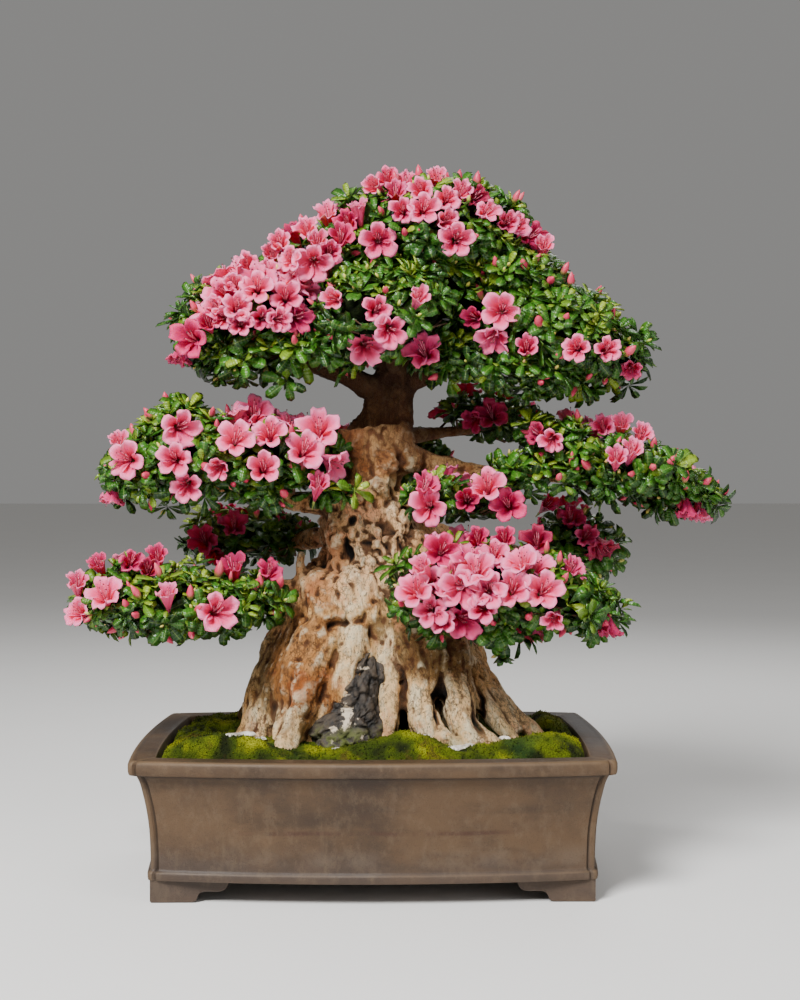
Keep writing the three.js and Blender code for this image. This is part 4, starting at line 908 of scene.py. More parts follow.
def make_stone():
    verts, tris = capped([ring(x, y, z, a, b, wheel(112)) for z, x, y, a, b in smooth_path(STONE, 96)])
    centre = np.stack([np.interp(verts[:, 2], [s[0] for s in STONE], [s[k] for s in STONE])
                       for k in (1, 2)] + [verts[:, 2]], axis=1)
    out = unit(verts - centre)
    bent = verts + 3 * wander(verts, 18, (0, 50, 90))
    push, tone = np.zeros(len(verts)) - 4, np.zeros(len(verts))
    for size, rise in ((24, 5.0), (9, 1.6)):
        near = [noise.voronoi(Vector(p / [size, size, 1.5 * size])) for p in bent]
        crack = np.clip(np.array([d[1] - d[0] for d, _ in near]), 0, 0.13) / 0.13
        block = np.array([noise.cell(where[0] * 3.7) for _, where in near])
        push += rise * (crack + 1.1 * block)
        # The tone is low along the cracks, which the rock paints as shade.
        tone += (crack - 0.6) * rise / 4 + 0.15 * block
    chalk = np.zeros(len(verts))
    for x, z, wide, high in CHALK:
        near = ellipse(verts[:, [0, 2]], x, z, wide, high)
        chalk = np.maximum(chalk, np.exp(-near) * (verts[:, 1] < -60))
    heap = Heap()
    heap.add(verts + out * (push + fractal(verts, 6, 2))[:, None], tris, tone, chalk[:, None])
    heap.piece("stone_dark", [rock_material()], "stone", ["stone"])


def moss_height(x, y):
    cushions = (0.5 + 0.3 * np.sin(x / 31 + 1.3 * np.sin(y / 37))
                + 0.3 * np.sin(y / 24 + 1.1 * np.sin(x / 43) + 0.8))
    reach_x, reach_y = HALF_X - RIM_WIDTH, HALF_Y - RIM_WIDTH
    edge = np.maximum(np.abs(x) / reach_x, np.abs(y) / (reach_y + 10))
    sink = np.clip((1 - edge) / 0.16, 0, 1)
    return 7 + 19 * (0.25 + 0.75 * sink) * np.maximum(0.1, cushions)


def moss_reach(s, t):
    """Half the moss's width and depth, which bow with the pot's walls."""
    return (HALF_X - MOSS_GAP + 0.75 * BOW_SIDE * (1 - t * t),
            HALF_Y - MOSS_GAP + 0.75 * BOW_FRONT * (1 - s * s))


def moss_surface(s, t):
    """Points of the moss from shares of its width and depth, -1 to 1."""
    reach_x, reach_y = moss_reach(s, t)
    x, y = s * reach_x, t * reach_y
    z = SOIL_TOP + moss_height(x, y)
    for at_x, at_y, wide, deep, rise in MOUNDS:
        far = np.sqrt(((x - at_x) / wide) ** 2 + ((y - at_y) / deep) ** 2)
        z = z + rise * np.clip(1 - far ** 2, 0, None) ** 0.6
    points = np.stack([x, y, z], axis=-1)
    flat = points.reshape(-1, 3)
    level = flat * [1, 1, 0]
    bent = level + 16 * wander(level, 34, (0, 40, 80))
    pillows = fractal(level, 30, 3) * 3.6 + billows(bent + 50, 34) * 4 + billows(bent, 13) * 1.8
    rim = np.clip((1 - np.maximum(np.abs(s), np.abs(t))) / 0.03, 0, 1).reshape(-1)
    flat[:, 2] += pillows - 8 * (1 - rim) ** 2
    return flat.reshape(points.shape), pillows


def make_moss():
    heap = Heap()
    columns, rows, tufts = 158, 112, 8000
    s, t = np.meshgrid(np.linspace(-1, 1, columns), np.linspace(-1, 1, rows))
    points, pillows = moss_surface(s, t)
    heap.add(points.reshape(-1, 3), strips(rows, columns, closed=False), pillows / 5)
    edge = np.concatenate([points[0], points[1:, -1], points[-1, -2::-1], points[-2:0:-1, 0]])
    low = edge * [1, 1, 0] + [0, 0, SOIL_TOP + 0.3]
    verts, tris = capped([low, edge])
    # The edge down to the soil takes the lowest tone, near black green: painted shade.
    heap.add(verts[:-1], tris[(tris < len(verts) - 1).all(1)], -0.6)
    s, t = random.uniform(-0.985, 0.985, (2, tufts))
    roots, pillows = moss_surface(s, t)
    lean = unit(np.stack([random.normal(0, 0.5, tufts), random.normal(0, 0.5, tufts),
                          np.ones(tufts)], axis=1))
    side = unit(np.cross(lean, [0.3, 1, 0.1]))
    spike = np.array([(1.1, 0, -0.6), (-0.55, 0.95, -0.6), (-0.55, -0.95, -0.6), (0, 0, 2.4)])
    faces = np.array([(0, 1, 3), (1, 2, 3), (2, 0, 3), (0, 2, 1)])
    sizes = random.uniform(0.7, 1.35, tufts)
    verts, tris = scatter(spike, faces, side, np.cross(lean, side), lean, roots, sizes)
    heap.add(verts, tris, np.repeat(pillows / 5 + random.normal(0.1, 0.2, tufts), 4))
    heap.piece("moss_carpet", [MOSS], "moss", ["moss"])


def make_chips():
    """Pale stone flakes that lie in the moss near the roots."""
    heap = Heap()
    for x, y, size in CHIPS:
        s, t = x / (HALF_X - MOSS_GAP), y / (HALF_Y - MOSS_GAP)
        for _ in range(3):
            reach_x, reach_y = moss_reach(s, t)
            s, t = x / reach_x, y / reach_y
        z = moss_surface(np.array([s]), np.array([t]))[0][0, 2] + 0.28 * size
        angle, turn = wheel(12), random.uniform(0, 6)
        wave = 1 + 0.22 * np.sin(2 * angle + turn) + 0.12 * np.sin(5 * angle + turn * 2)
        rings = []
        for share in np.linspace(-0.96, 0.96, 8):
            r = size * math.sqrt(1 - share * share)
            rings.append(ring(x, y, z + 0.42 * size * share, 1.2 * r, r, angle + turn, wave))
        verts, tris = capped(rings)
        heap.add(verts + random.normal(0, 0.25, verts.shape), tris)
    heap.piece("stone_flakes", [CHIP], "stone", crease=30)


# ---------------------------------------------------------------- leaf pads

# Domes that carry the leaves:
# name, spray, middle, half sizes to the side, front and top, depth below, tilt in degrees
PADS = [
    ("crown_heart", "crown", (40, 6, 694), (135, 112, 62), 42, 0),
    ("crown_top", "crown", (68, -10, 752), (116, 104, 68), 40, 0),
    ("crown_left", "crown", (-134, -20, 655), (92, 98, 60), 34, -14),
    ("crown_front", "crown", (14, -112, 655), (70, 56, 50), 36, 0),
    ("crown_right", "crown", (202, -20, 640), (112, 98, 58), 34, 16),
    ("crown_back", "crown", (26, 112, 678), (130, 84, 70), 44, 0),
    ("left_middle", "left_middle", (-176, -45, 492), (126, 88, 42), 26, -4),
    ("right_middle", "right_middle", (292, -25, 486), (120, 74, 28), 20, 20),
    ("back_right", "back_right", (150, 112, 548), (52, 48, 20), 14, 6),
    ("left_low", "left_low", (-232, -60, 322), (108, 84, 36), 24, 0),
    ("left_back", "left_back", (-160, 112, 392), (74, 58, 28), 18, 0),
    ("right_low", "right_low", (158, -112, 340), (104, 66, 44), 28, 10),
    ("right_upper", "right_upper", (116, -62, 448), (48, 40, 14), 12, 0),
    ("right_back", "right_back", (254, 74, 388), (42, 48, 34), 24, 24),
    ("back", "back", (-4, 152, 492), (92, 52, 32), 20, 0),
]
# Smaller tufts of leaves below and between the pads, laid out as the pads are.
TUFTS = [
    ("crown_under_left", "crown", (-98, -58, 617), (90, 50, 24), 20, -8),
    ("left_middle_inner", "left_middle", (-86, -76, 458), (56, 34, 19), 12, 0),
    ("left_middle_tip", "left_middle", (-284, -52, 474), (28, 26, 20), 18, 0),
    ("left_low_top", "left_low", (-288, -62, 345), (44, 34, 20), 16, -14),
    ("left_low_inner", "left_low", (-146, -62, 330), (36, 34, 24), 20, 8),
    ("right_low_left", "right_low", (74, -124, 340), (42, 38, 44), 38, 0),
    ("right_low_tip", "right_low", (250, -100, 318), (32, 34, 22), 24, 20),
    ("right_middle_tip", "right_middle", (355, -40, 444), (25, 26, 18), 14, 24),
    ("right_middle_under", "right_middle", (222, -58, 470), (84, 28, 15), 12, 7),
    ("right_low_under", "right_low", (142, -120, 306), (32, 28, 16), 20, 6),
    ("right_upper_left", "right_upper", (74, -66, 447), (24, 24, 20), 18, 0),
    ("left_middle_rise", "left_middle", (-230, -50, 528), (28, 28, 24), 16, 0),
    ("left_middle_under", "left_middle", (-196, -84, 469), (94, 32, 16), 18, 0),
    ("crown_under_right", "crown", (150, -62, 600), (96, 46, 24), 20, 10),
    ("crown_shoulder_left", "crown", (-58, -36, 724), (66, 66, 44), 30, -20),
    ("crown_shoulder_right", "crown", (166, -30, 700), (64, 66, 46), 30, 24),
]
SPRAYS = list(dict.fromkeys(pad[1] for pad in PADS))
# Dark gaps between the front's leaves, in the picture: x, y, half width and height.
GAPS = [(452, 283, 30, 9), (470, 305, 12, 20), (440, 320, 16, 14), (312, 290, 8, 7), (350, 318, 16, 7),
        (470, 440, 60, 12), (396, 372, 60, 10), (455, 300, 20, 14), (430, 330, 14, 12)]
# Where along a bloom, from its foot, leaves stay clear of it.
FUNNEL = 3, 46
# The spacing of the leaf whorls, and their rings: leaves, how far they rise, length, and how
# much younger they are.
WHORL_SPACING, WHORL_RINGS = 17.8, [(5, 0.22, 25, 0.0), (3, 0.75, 18, 0.2)]
# The furthest left and right that the front's blooms may be, and where the camera sees them.
REACH, SIGHTS = (-354, 386), []
# The least and largest radius of a bloom, and how far its mouth stands out from its dome.
BLOOM_SIZES, BLOOM_RISE = (14.5, 26), 22
# Sprays in the tree's own shade, whose blooms are painted deeper pink as shade.
SHADED = ("left_back", "right_back", "back_right")
# How much larger than in the picture the blooms of a spray are, to show beyond the leaves.
LARGER = {"left_low": 1.04, "right_middle": 1.04, "crown": 1.05, "right_low": 1.08}
# Kinds of blooms. A kind of 3 hangs down, and a bloom painted deeper pink as shade has 4 more than its kind.
OPEN, HALF_OPEN, SHADE_PINK, UNSEEN = 0, 1, 4, -1
# Blooms of the front, by where the camera sees them: the picture's x and y, the radius there
# and the kind. A large bud has x and y alone.
FRONT = {
    "crown": [
        (384, 169, 12, 0), (407, 177, 12, 0), (436, 176, 11, 1), (396, 190, 12, 1), (420, 188, 12, 0),
        (372, 186, 10, 1), (462, 190, 10, 1), (402, 210, 12, 0), (448, 198, 10, 0), (358, 207, 13, 1),
        (327, 212, 16, 1), (342, 235, 16, 5), (425, 208, 18, 0), (379, 241, 20, 0), (457, 240, 20, 0),
        (448, 220, 14, 1), (490, 210, 12, 0), (508, 222, 11, 1), (534, 235, 18, 4), (280, 241, 13, 1),
        (290, 259, 15, 0), (313, 265, 23, 0), (267, 267, 15, 0), (257, 287, 19, 0), (234, 284, 14, 1),
        (238, 306, 16, 0), (287, 296, 18, 0), (300, 319, 17, 4), (241, 323, 15, 0), (189, 338, 21, 0),
        (172, 368, 14, 7), (208, 322, 10, 5), (332, 299, 13, 1), (368, 348, 21, 0), (391, 332, 18, 0),
        (378, 309, 15, 0), (422, 348, 21, 4), (420, 296, 13, 1), (500, 311, 22, 0), (472, 318, 12, 5),
        (492, 342, 19, 0), (527, 345, 11, 5), (576, 348, 16, 0), (609, 348, 14, 0), (631, 371, 12, 4),
        (421, 257), (407, 234), (438, 257), (301, 223), (498, 268), (522, 270), (544, 283), (560, 270),
        (573, 286), (592, 301), (202, 312), (272, 337), (288, 332), (257, 342), (316, 338), (539, 325),
        (246, 262, 13, 0), (272, 252, 12, 1), (224, 292, 13, 4), (214, 306, 11, 1), (264, 318, 14, 4),
        (281, 320, 12, 0), (318, 240, 13, 1), (306, 226, 12, 0), (291, 231, 11, 5), (346, 220, 12, 4),
        (330, 252, 12, 1), (222, 318, 12, 0), (478, 196, 10, 4), (520, 224, 11, 0), (544, 244, 11, 1),
        (563, 322), (539, 377), (441, 368), (417, 186), (398, 190), (330, 190), (454, 174), (476, 182),
        (620, 352), (562, 348),
    ],
    "left_middle": [
        (126, 459, 20, 0), (183, 429, 20, 0), (174, 459, 17, 0), (187, 487, 17, 0), (218, 469, 15, 1),
        (236, 437, 20, 0), (254, 411, 21, 4), (270, 431, 18, 0), (264, 467, 18, 1), (319, 426, 22, 0),
        (306, 448, 20, 0), (339, 467, 18, 0), (319, 481, 12, 1), (112, 503, 14, 7), (119, 439, 9, 1),
        (157, 419), (166, 396), (287, 491), (302, 476), (232, 483), (206, 463), (293, 478), (134, 440),
        (152, 470), (245, 480),
    ],
    "left_low": [
        (104, 590, 21, 0), (76, 611, 17, 0), (78, 580, 10, 1), (98, 562, 11, 5), (133, 560, 14, 4),
        (149, 568, 12, 5), (157, 554, 9, 5), (220, 611, 22, 0), (232, 565, 20, 5), (271, 568, 15, 4),
        (167, 591, 9, 1), (131, 607), (116, 623), (163, 646), (249, 596), (217, 582), (272, 591),
        (190, 600), (140, 612),
    ],
    "left_back": [(202, 538, 17, 0), (234, 521, 16, 0), (215, 556, 10, 1)],
    "right_middle": [
        (534, 432, 13, 4), (551, 441, 14, 0), (603, 424, 14, 0), (622, 422, 15, 1), (643, 432, 12, 1),
        (633, 447, 11, 1), (617, 455, 10, 1), (689, 518, 13, 7), (724, 520, 9, 3), (731, 492), (651, 452),
        (591, 460), (674, 458), (680, 481), (558, 478), (664, 470), (698, 487),
    ],
    "back_right": [(491, 412, 18, 0), (472, 421, 12, 0)],
    "right_upper": [
        (427, 483, 16, 5), (428, 507, 19, 4), (487, 483, 20, 0), (467, 500, 15, 5), (508, 504, 18, 4),
    ],
    "right_back": [(572, 514, 15, 0), (604, 552, 19, 3), (588, 535, 12, 0), (548, 500, 10, 1)],
    "right_low": [
        (442, 550, 20, 4), (436, 541, 13, 1), (414, 589, 20, 0), (477, 567, 20, 0), (460, 589, 21, 0),
        (431, 611, 17, 0), (466, 621, 20, 0), (441, 620, 14, 0), (494, 551, 16, 0), (489, 589, 19, 0),
        (520, 558, 20, 0), (513, 587, 20, 0), (545, 589, 21, 0), (537, 537, 17, 4), (504, 536, 13, 4),
        (477, 536, 13, 4), (574, 566, 14, 5), (553, 621, 12, 1), (612, 636, 12, 7), (482, 608, 15, 0),
        (494, 612), (529, 610), (595, 614), (560, 629), (420, 565, 14, 1),
    ],
}
# Where the blooms of the sides and back stand on their domes, as degrees round the upright and
# above the level. Every dome has the first two, unless another dome covers the place.
BEHIND = [(135, 50), (55, 15)]
MORE_BEHIND = {
    "crown_back": [(105, 30), (25, 25), (155, 15), (75, 5)],
    "right_low": [(50, -70), (105, -45), (130, -80), (60, -25)],
}


def tilted(points, degrees):
    c, s = math.cos(math.radians(degrees)), math.sin(math.radians(degrees))
    x, y, z = points[..., 0], points[..., 1], points[..., 2]
    return np.stack([x * c + z * s, y, z * c - x * s], axis=-1)


def in_picture(points):
    """Where the camera sees points: across and down in the picture."""
    scale = FOCUS / (points[:, 1] - EYE[1])
    return (MIDDLE_ACROSS + (points[:, 0] - EYE[0]) * scale,
            MIDDLE_DOWN + (EYE[2] - points[:, 2]) * scale)


def dome_sizes(pad, d):
    """The half sizes of a pad's dome on the side of each direction, above or below."""
    _, _, _, (a, b, up), under, _ = pad
    return np.stack([np.full(len(d), a), np.full(len(d), b), np.where(d[:, 2] > 0, up, under)], axis=1)


def pad_points(pad, d, lift=0.0):
    """Points of a pad's dome in directions d, and the way out there."""
    at, tilt = pad[2], pad[5]
    x = at[0]
    lump = (1 + 0.05 * np.sin(5.1 * d[:, 0] + x / 30) * np.cos(4.3 * d[:, 1] - x / 50)
            + 0.03 * np.sin(8 * d[:, 0] + 5 * d[:, 2] + x / 20))
    sizes = dome_sizes(pad, d)
    points = (sizes + np.reshape(lift, (-1, 1))) * d * lump[:, None]
    return tilted(points, tilt) + at, unit(tilted(d / sizes, tilt))


def within(pad, points):
    """Points in a dome's own axes, as shares of its half sizes."""
    p = tilted(points - np.array(pad[2]), -pad[5])
    return p / dome_sizes(pad, p)


def depth_in(pad, points):
    """Below 1 inside a pad's dome, above 1 outside."""
    p = within(pad, points)
    return np.sqrt(p[:, 0] ** 2 + p[:, 1] ** 2 + p[:, 2] ** 2)


def depth_in_others(pad, points):
    return min(depth_in(other, points)[0] for other in PADS if other is not pad)


def pads_of(spray, pads=PADS + TUFTS):
    return [pad for pad in pads if pad[1] == spray]


def spread(count):
    i = np.arange(count)
    z = 1 - 2 * (i + 0.5) / count
    turn = math.pi * (3 - math.sqrt(5)) * i
    r = np.sqrt(1 - z * z)
    return np.stack([r * np.cos(turn), r * np.sin(turn), z], axis=1)


def pad_area(pad):
    a, b, up = pad[3]
    c, p = (up + pad[4]) / 2, 1.6
    return 4 * math.pi * (((a * b) ** p + (a * c) ** p + (b * c) ** p) / 3) ** (1 / p)


def leaf_template():
    """A closed spoon-shaped leaf of length 1 along X, folded along its rib, with its own place."""
    half = [(0.3, 0.09, 0.03), (0.64, 0.215, 0.085), (0.89, 0.18, 0.045)]
    rim = [(0, 0, 0), *half, (1.02, 0, -0.06), *((x, -y, z) for x, y, z in half[::-1])]
    verts = np.array(rim + [(0.42, 0, 0.02), (0.8, 0, 0.0)])
    top = [(0, 8, 1), (1, 8, 2), (8, 9, 2), (2, 9, 3), (3, 9, 4),
           (8, 0, 7), (8, 7, 6), (9, 8, 6), (9, 6, 5), (9, 5, 4)]
    below = [(0, k, k + 1) for k in range(1, 7)]
    place = np.stack([verts[:, 0], verts[:, 1] * 4, verts[:, 2] * 0], axis=1)
    return verts - [0, 0, 0.02], np.array(top + below), place


def in_bloom(points):
    """True where a point is inside a bloom's funnel or just before its mouth."""
    mouths, axes, sizes, lengths = bloom_arrays()
    feet = mouths - axes * lengths[:, None]
    found = np.zeros(len(points), bool)
    for start in range(0, len(points), 4000):
        apart = points[start:start + 4000, None] - feet[None]
        along = (apart * axes[None]).sum(2)
        aside = np.linalg.norm(apart - along[..., None] * axes[None], axis=2)
        hit = (along > FUNNEL[0]) & (along < FUNNEL[1])
        hit &= aside < 0.9 * np.minimum(along, sizes)
        found[start:start + 4000] = hit.any(1)
    return found


def hides_bloom(spray, points):
    """True where a point lies before one of the spray's front blooms, seen by the camera."""
    across, down = in_picture(points)
    found = np.zeros(len(points), bool)
    for own, x, y, radius, depth in SIGHTS:
        if own == spray:
            near = (across - x) ** 2 + (down - y) ** 2 < radius ** 2
            found |= near & (points[:, 1] < depth + 3) & (points[:, 1] > depth - 70)
    return found


def whorl_places(pad):
    """Places and ways out of the leaf whorls of one pad."""
    d = spread(int(pad_area(pad) / WHORL_SPACING ** 2))
    d = unit(d + random.normal(0, 0.5 * WHORL_SPACING / max(pad[3]), d.shape))
    d = d[(d[:, 2] > -0.25) | (random.random(len(d)) < 0.5)]
    lift = random.uniform(-10, 8, len(d)) + np.where(random.random(len(d)) < 0.12, 9, 0)
    points, normals = pad_points(pad, d, lift)
    keep = ~in_bloom(points)
    for other in PADS:
        if other is not pad:
            keep &= depth_in(other, points) > (0.96 if other[1] == pad[1] else 1.0)
    across, down = in_picture(points)
    few = random.random(len(points)) < 0.15
    seen = np.stack([across, down], axis=1)
    for gap in GAPS:
        keep &= (ellipse(seen, *gap) > 1) | (points[:, 1] > 0) | few
    return points[keep], normals[keep]


def add_leaves(heap, spray, places, ways):
    template, tris, place = leaf_template()
    count = len(places)
    axis = unit(ways + [0, -0.1, 0.45] + random.normal(0, 0.24, (count, 3)))
    side = unit(np.cross(axis, [0.31, 0.22, 0.12]))
    front = np.cross(axis, side)
    mood = random.normal(0, 0.17, count)
    scale = random.uniform(0.82, 1.2, count)
    for layer, (leaves, rise, long, young) in enumerate(WHORL_RINGS):
        for k in range(leaves):
            turn = 2 * math.pi * k / leaves + 0.6 * layer + 0.3 * random.normal(0, 1, count)
            turn = (turn + np.arange(count) * 1.7)[:, None]
            outward = np.cos(turn) * side + np.sin(turn) * front
            lean = np.reshape(rise + random.normal(0, 0.16, count), (-1, 1))
            x = unit(outward * np.cos(lean) + axis * np.sin(lean))
            y = unit(np.cross(axis, x))
            size = long * scale * random.uniform(0.88, 1.12, count)
            # Whorls that face up get lighter leaves, and those that face down darker ones: painted light and
            # shade.
            painted_sunlight = np.clip(ways[:, 2], -0.5, 1) * 0.22
            tone = np.clip(0.36 + mood + painted_sunlight + young + random.normal(0, 0.12, count), 0, 1)
            free = np.ones(count, bool)
            for share in (0.4, 0.9):
                spot = places + x * size[:, None] * share
                free &= ~in_bloom(spot) & ~hides_bloom(spray, spot)
            verts, faces = scatter(template, tris, x[free], y[free], np.cross(x, y)[free],
                                   places[free], size[free])
            heap.add(verts, faces, np.repeat(tone[free], len(template)),
                     np.tile(place, (free.sum(), 1)))


def spindles(heap, places, axes, sizes, length, radius, sides, tone):
    """Buds at places, along axes. Their own place holds the share of the length, for the material."""
    shape = ((0, 0.3), (0.2, 0.85), (0.5, 1), (0.8, 0.6), (1, 0.08))
    template, tris = capped([ring(0, 0, share * length, wide * radius, wide * radius, wheel(sides))
                             for share, wide in shape])
    side = unit(np.cross(axes, [0.2, 0.4, 0.1]))
    verts, faces = scatter(template, tris, side, np.cross(axes, side), axes, places, sizes)
    along = np.tile(template[:, 2] / length, len(places))
    heap.add(verts, faces, tone, along[:, None] * [1, 0, 0], 1)


def add_buds(heap, places, ways):
    """Pink flower buds on some shoots and small yellow-green leaf buds on others."""
    for share, length, radius, kind in ((0.12, 17, 3.6, 0.0), (0.26, 8, 2.1, 1.0)):
        pick = (random.random(len(places)) < share) & ~in_bloom(places + 12 * ways)
        axes = unit(ways[pick] + [0, 0, 0.5] + random.normal(0, 0.3, (pick.sum(), 3)))
        sizes = random.uniform(0.7, 1.25, pick.sum())
        spindles(heap, places[pick] + 4 * axes, axes, sizes, length, radius, 5, kind)


def make_pad_shade_cores():
    """Dark domes inside the pads: painted shade, in place of their shadowed inner twigs and leaves."""
    heap = Heap()
    ball = bpy.data.meshes.new("ball")
    work = bmesh.new()
    bmesh.ops.create_icosphere(work, subdivisions=4, radius=1)
    work.to_mesh(ball)
    work.free()
    d = unit(np.array([v.co for v in ball.vertices]))
    tris = np.array([p.vertices[:] for p in ball.polygons])
    for pad in PADS:
        rough = fractal(d * 11 + pad[2][0], 1.0, 3) * 9
        heap.add(pad_points(pad, d, -13 + rough)[0], tris)
    bpy.data.meshes.remove(ball)
    heap.piece("pad_shade_cores", [SHADE_CORE], "leaf")


def make_twigs():
    """Thin twigs that fan out from each branch to the underside of its pad."""
    heap = Heap()
    for pad in PADS:
        name, spray, _, half, _, _ = pad
        branch = BRANCHES.get(name) or BRANCHES.get(spray)
        if branch is None:
            continue
        path = smooth_path(branch, 20)
        d = spread(60)
        d = unit(d + random.normal(0, 0.1, d.shape))
        d = d[(d[:, 2] < 0.1) & (d[:, 2] > -0.8)]
        ends, _ = pad_points(pad, d, 2)
        for end in ends:
            start = path[random.integers(8, 20)]
            if np.linalg.norm(end - start[:3]) > 1.1 * max(half):
                start = path[np.linalg.norm(path[:, :3] - end, axis=1).argmin()]
            middle = (start[:3] + end) / 2 + random.normal(0, 5, 3) - [0, 0, 5]
            spots = np.array([middle, (middle + end) / 2, end])
            if in_bloom(spots).any() or hides_bloom(spray, spots).any():
                continue
            heap.add(*tube([(*start[:3], 2.4), (*middle, 1.7), (*end, 0.8)], 4, 5))
    heap.piece("pad_twigs", [TWIG], "bark")


# ---------------------------------------------------------------- flowers


# Dense drifts of blooms: spray, middle x, y and z, half width and height, and how many.
DRIFTS = [("right_low", 110, -160, 352, 80, 42, 8), ("crown", -120, -100, 700, 70, 44, 6),
          ("crown", 30, -40, 835, 50, 14, 3), ("left_middle", -110, -60, 530, 60, 16, 3)]


def heading(turn, rise):
    """The way that faces so many degrees round the upright and above the level."""
    a, b = np.radians(turn), np.radians(rise)
    return np.stack([np.cos(a) * np.cos(b), np.sin(a) * np.cos(b), np.sin(b)], axis=-1)


def bearing(way):
    """The degrees that heading() turns into this way."""
    return math.degrees(math.atan2(way[1], way[0])), math.degrees(math.asin(way[2]))


def bloom_arrays():
    rows = np.array([row for rows in BLOOMS.values() for row in rows], float)
    return rows[:, :3], heading(rows[:, 3], rows[:, 4]), rows[:, 5], rows[:, 6]


def blooms_behind():
    """Blooms of the sides and back by spray, as rows: x, y, z of the middle of the mouth, the
    way it faces as degrees round the upright and above the level, its radius, length and kind."""
    rows = {spray: [] for spray in SPRAYS}
    for pad in PADS:
        for k, degrees in enumerate(BEHIND + MORE_BEHIND.get(pad[0], [])):
            mouth, way = (found[0] for found in pad_points(pad, heading(*degrees)[None], 26))
            if depth_in_others(pad, mouth[None]) > 1.05:
                rows[pad[1]].append((*mouth, *bearing(way), 22 + 1.5 * (k % 3), 30, UNSEEN))
    return rows


def sight_line(spray, across, down):
    """The camera's line of sight through a place in the picture, the spray's domes, and how
    deep each point of the line lies in each dome."""
    y = np.arange(-280, 240 if "back" in spray else 30, 2.0)
    scale = (y - EYE[1]) / FOCUS
    line = np.stack([EYE[0] + (across - MIDDLE_ACROSS) * scale, y,
                     EYE[2] - (down - MIDDLE_DOWN) * scale], axis=1)
    own = pads_of(spray)
    return line, own, np.array([depth_in(pad, line) for pad in own])


def sighted(spray, across, down):
    """Where a spray's domes lie behind a place in the picture: a point on the line of sight,
    the way out there, and the nearest point of the dome."""
    line, own, depths = sight_line(spray, across, down)
    hits = (depths < 1).any(0)
    if not hits.any():
        skins = [pad_points(pad, spread(500)) for pad in own]
        points, normals = (np.concatenate(part) for part in zip(*skins))
        gaps = np.linalg.norm(points[:, None] - line[None], axis=2)
        near, step = np.unravel_index(gaps.argmin(), gaps.shape)
        return line[step], normals[near], points[near]
    step = int(hits.argmax())
    pad = own[int(depths[:, step].argmin())]
    way = pad_points(pad, unit(within(pad, line[step][None])))[1][0]
    return line[step], way, line[step]


def ahead_of(spray, across, down, radius, y):
    """How far before y the spray's domes reach within a bloom's outline in the picture."""
    found = 0.0
    for turn in range(6):
        angle = math.pi * turn / 3
        line, _, depths = sight_line(spray, across + 0.7 * radius * math.cos(angle),
                                     down + 0.7 * radius * math.sin(angle))
        hits = (depths < 1).any(0)
        if hits.any():
            found = max(found, y - line[int(hits.argmax()), 1])
    return min(found, 34)


def front_blooms():
    """Rows of the front's open blooms, and the places of its large buds, by spray."""
    rows, buds = {}, {}
    for spray, seen in FRONT.items():
        for across, down, *shape in seen:
            point, normal, surface = sighted(spray, across, down)
            if not shape:
                way = unit(normal + [0, -0.3, 0.7] + random.normal(0, 0.25, 3))
                buds.setdefault(spray, []).append((surface + 10 * normal, way))
                continue
            radius, kind = shape
            size = float(np.clip(radius * LARGER.get(spray, 1.12), *BLOOM_SIZES))
            gaze = unit(np.array(EYE) - point)
            if kind % SHADE_PINK == OPEN:
                way = unit(0.4 * normal + 0.85 * gaze + [0, 0, 0.1] + random.normal(0, 0.15, 3))
            elif kind % SHADE_PINK == HALF_OPEN:
                way = unit(0.4 * normal + 0.65 * gaze + [0, 0, 0.3] + random.normal(0, 0.2, 3))
            else:
                way = unit(0.7 * normal + 0.3 * gaze + [0, 0, -0.8])
            beside = np.linalg.norm(point - surface)
            mouth = point + BLOOM_RISE * gaze
            if beside > 3:
                mouth = surface + min(beside, BLOOM_RISE) * unit(point - surface) + 14 * gaze
            mouth = mouth + ahead_of(spray, across, down, radius, point[1]) * gaze
            mouth[0] = np.clip(mouth[0], *REACH)
            x, y = in_picture(mouth[None])
            SIGHTS.append((spray, x[0], y[0], 0.85 * size * FOCUS / (mouth[1] - EYE[1]), mouth[1]))
            rows.setdefault(spray, []).append(
                (*mouth, *bearing(way), size, 29 + 5 * random.random(), kind))
    return rows, buds


